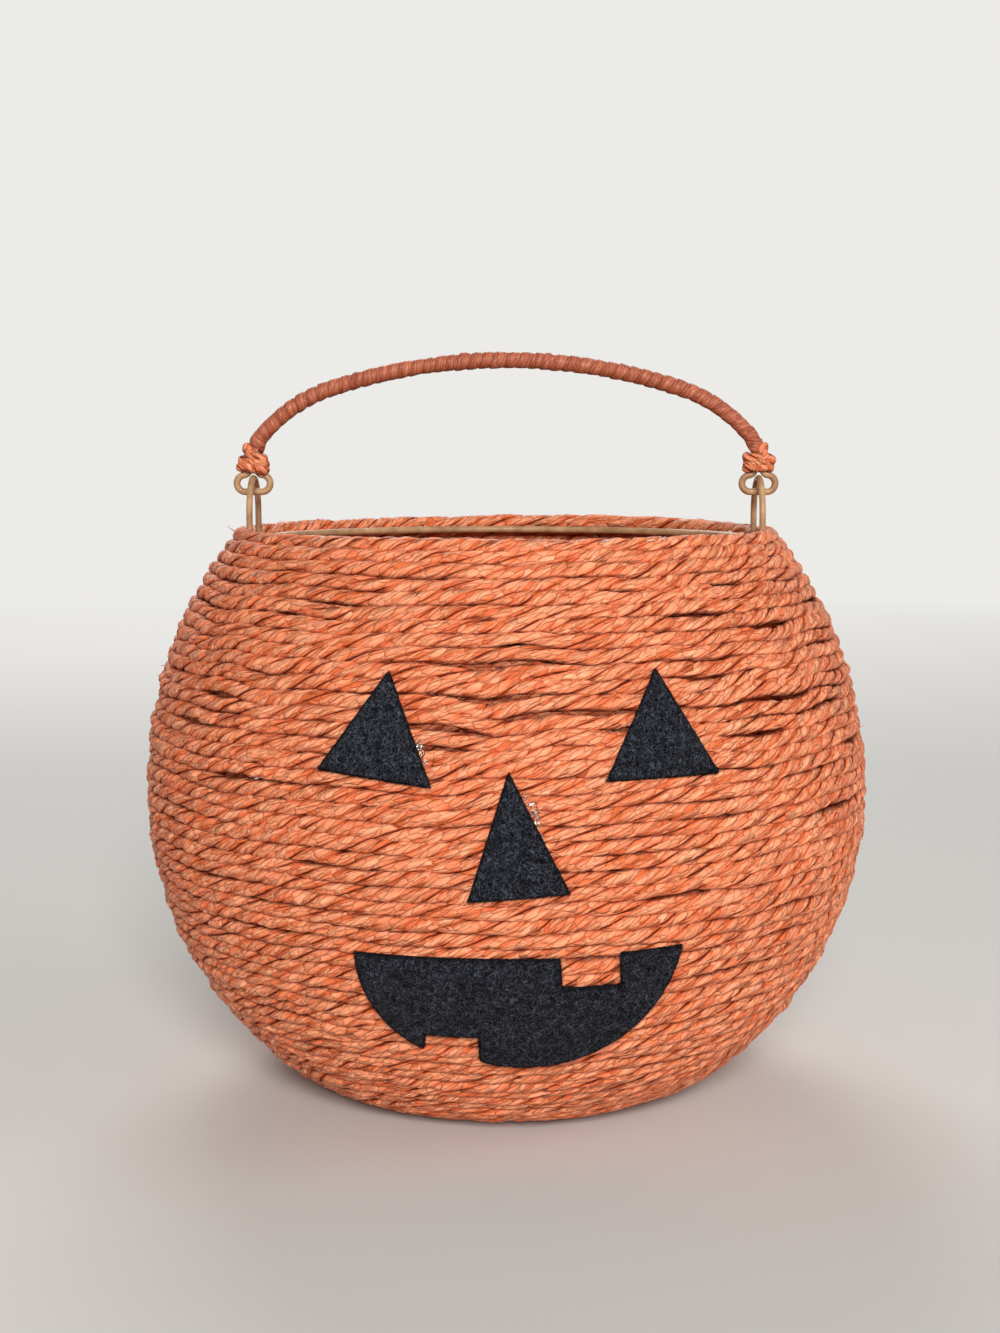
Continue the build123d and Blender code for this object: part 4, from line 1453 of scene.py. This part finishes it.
glue, tree, shader = new_material("clear_glue", {"Transmission Weight": 1.0, "IOR": 1.46})
position = place(tree, "ShaderNodeTexCoord").outputs["Object"]
ripple = noise(tree, scaled(tree, position, ripple_cells), detail=3.0)
tree.links.new(span(tree, ripple, 0.3, 0.7, 0.04, 0.2), shader["Roughness"])
shader["Base Color"].default_value = colour(246, 244, 240)
bump = {"Height": ripple, "Strength": 0.4, "Distance": 0.3 * mm}
tree.links.new(place(tree, "ShaderNodeBump", bump).outputs[0], shader["Normal"])
print("glue:", glue.name)

# %% Finishes of the frame's own pieces
wires = ["rim_ring", "base_ring", "base_cross_lower", "base_cross_upper"]
wires += ["left_lug", "right_lug", "handle_wire"]
wires += [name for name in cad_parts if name.startswith("rib_")]
finishes = {name: wire_paint for name in wires} | {f"{name}_glue": glue for name in face_outlines}
for name, finish in finishes.items():
    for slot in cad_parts[name].material_slots:
        slot.material = finish
print("painted or glazed:", len(finishes), "pieces of the frame")

# %% [markdown]
# ## Squeezed-out glue
#
# Hot glue shows where a patch was pressed down: clear beads and strings along a few edges of the felt,
# each with a bright spot of gloss. A bead is a ball pressed flat on the wall and pushed out of shape by
# a few waves, so that no two are alike. They share one mesh. Two threads of glue lie on the rim, curled
# like the slivers.

# %% Places of beads
bead_draw = np.random.default_rng(23)
# Beads: place across and height seen from the front, half width, half height, height off the wall
beads = (
    (-24.3, 128.8, 0.8, 1.5, 0.9), (-23.6, 126.6, 0.9, 1.2, 0.9), (-22.6, 124.2, 0.5, 0.8, 0.7),
    (-41.4, 120.4, 0.9, 0.18, 2.1), (-36.1, 120.7, 0.3, 0.25, 2.1), (-39.2, 120.2, 0.3, 0.2, 2.1),
    (7.4, 111.9, 1.7, 1.9, 0.8), (8.6, 110.8, 0.7, 0.7, 1.4), (5.3, 114.9, 0.7, 0.8, 0.8),
    (9.0, 108.5, 0.7, 1.3, 0.9), (10.2, 104.2, 0.35, 0.6, 0.8), (29.0, 122.2, 0.7, 0.9, 0.8),
    (29.9, 124.1, 0.4, 0.5, 0.8),
)
print("glue beads:", len(beads))

# %% Glue beads
bead_height = 0.7 * mm
bead_waves = 3
wave_steepness = 2.2
wave_pitch = 2.2
wave_share = 0.14

glue_ball = bmesh.new()
for across, level, half_wide, half_tall, above in beads:
    made = bmesh.ops.create_icosphere(glue_ball, subdivisions=4, radius=1.0)["verts"]
    waves = bead_draw.uniform(-wave_steepness, wave_steepness, (bead_waves, 3))
    for vert in made:
        swell = 1 + wave_share * sum(sin(vert.co.dot(Vector(wave)) * wave_pitch) for wave in waves)
        spot = vert.co * swell
        x = (across + spot.x * half_wide) * mm
        z = (level + spot.z * half_tall) * mm
        vert.co = on_wall(x, z, above * mm - spot.y * bead_height * min(1, 2 * half_tall))
bmesh.ops.recalc_face_normals(glue_ball, faces=glue_ball.faces)
bead_mesh = bpy.data.meshes.new("glue_beads")
glue_ball.to_mesh(bead_mesh)
glue_ball.free()
bead_mesh.shade_smooth()
bead_mesh.materials.append(glue)
glue_beads = bpy.data.objects.new("glue_beads", bead_mesh)
scene.collection.objects.link(glue_beads)
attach(glue_beads, "pail")
print("beads have", len(bead_mesh.polygons), "triangles")

# %% Glue threads
# Threads: row, degrees round from the front, length in millimetres, curl and lift
glue_threads = [(0, 28, 6.0, 3.0, 0.5), (0, 31, 3.0, 1.2, 0.5)]
thread_width = 0.2 * mm
curled_lines("glue_threads", glue_threads, thread_width, thread_width, glue)

# %% [markdown]
# ## Check the size and finish
#
# Dressing must not change the part's size, so both boxes are kept to compare: the box of the
# mechanical model, measured right after loading, and the box of the dressed one.

# %% Finish
dressed_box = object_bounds()
for corner, before, after in zip(("low", "high"), cad_box, dressed_box):
    print(corner, "corner moves by", [round((b - a) / mm, 2) for a, b in zip(before, after)], "mm")
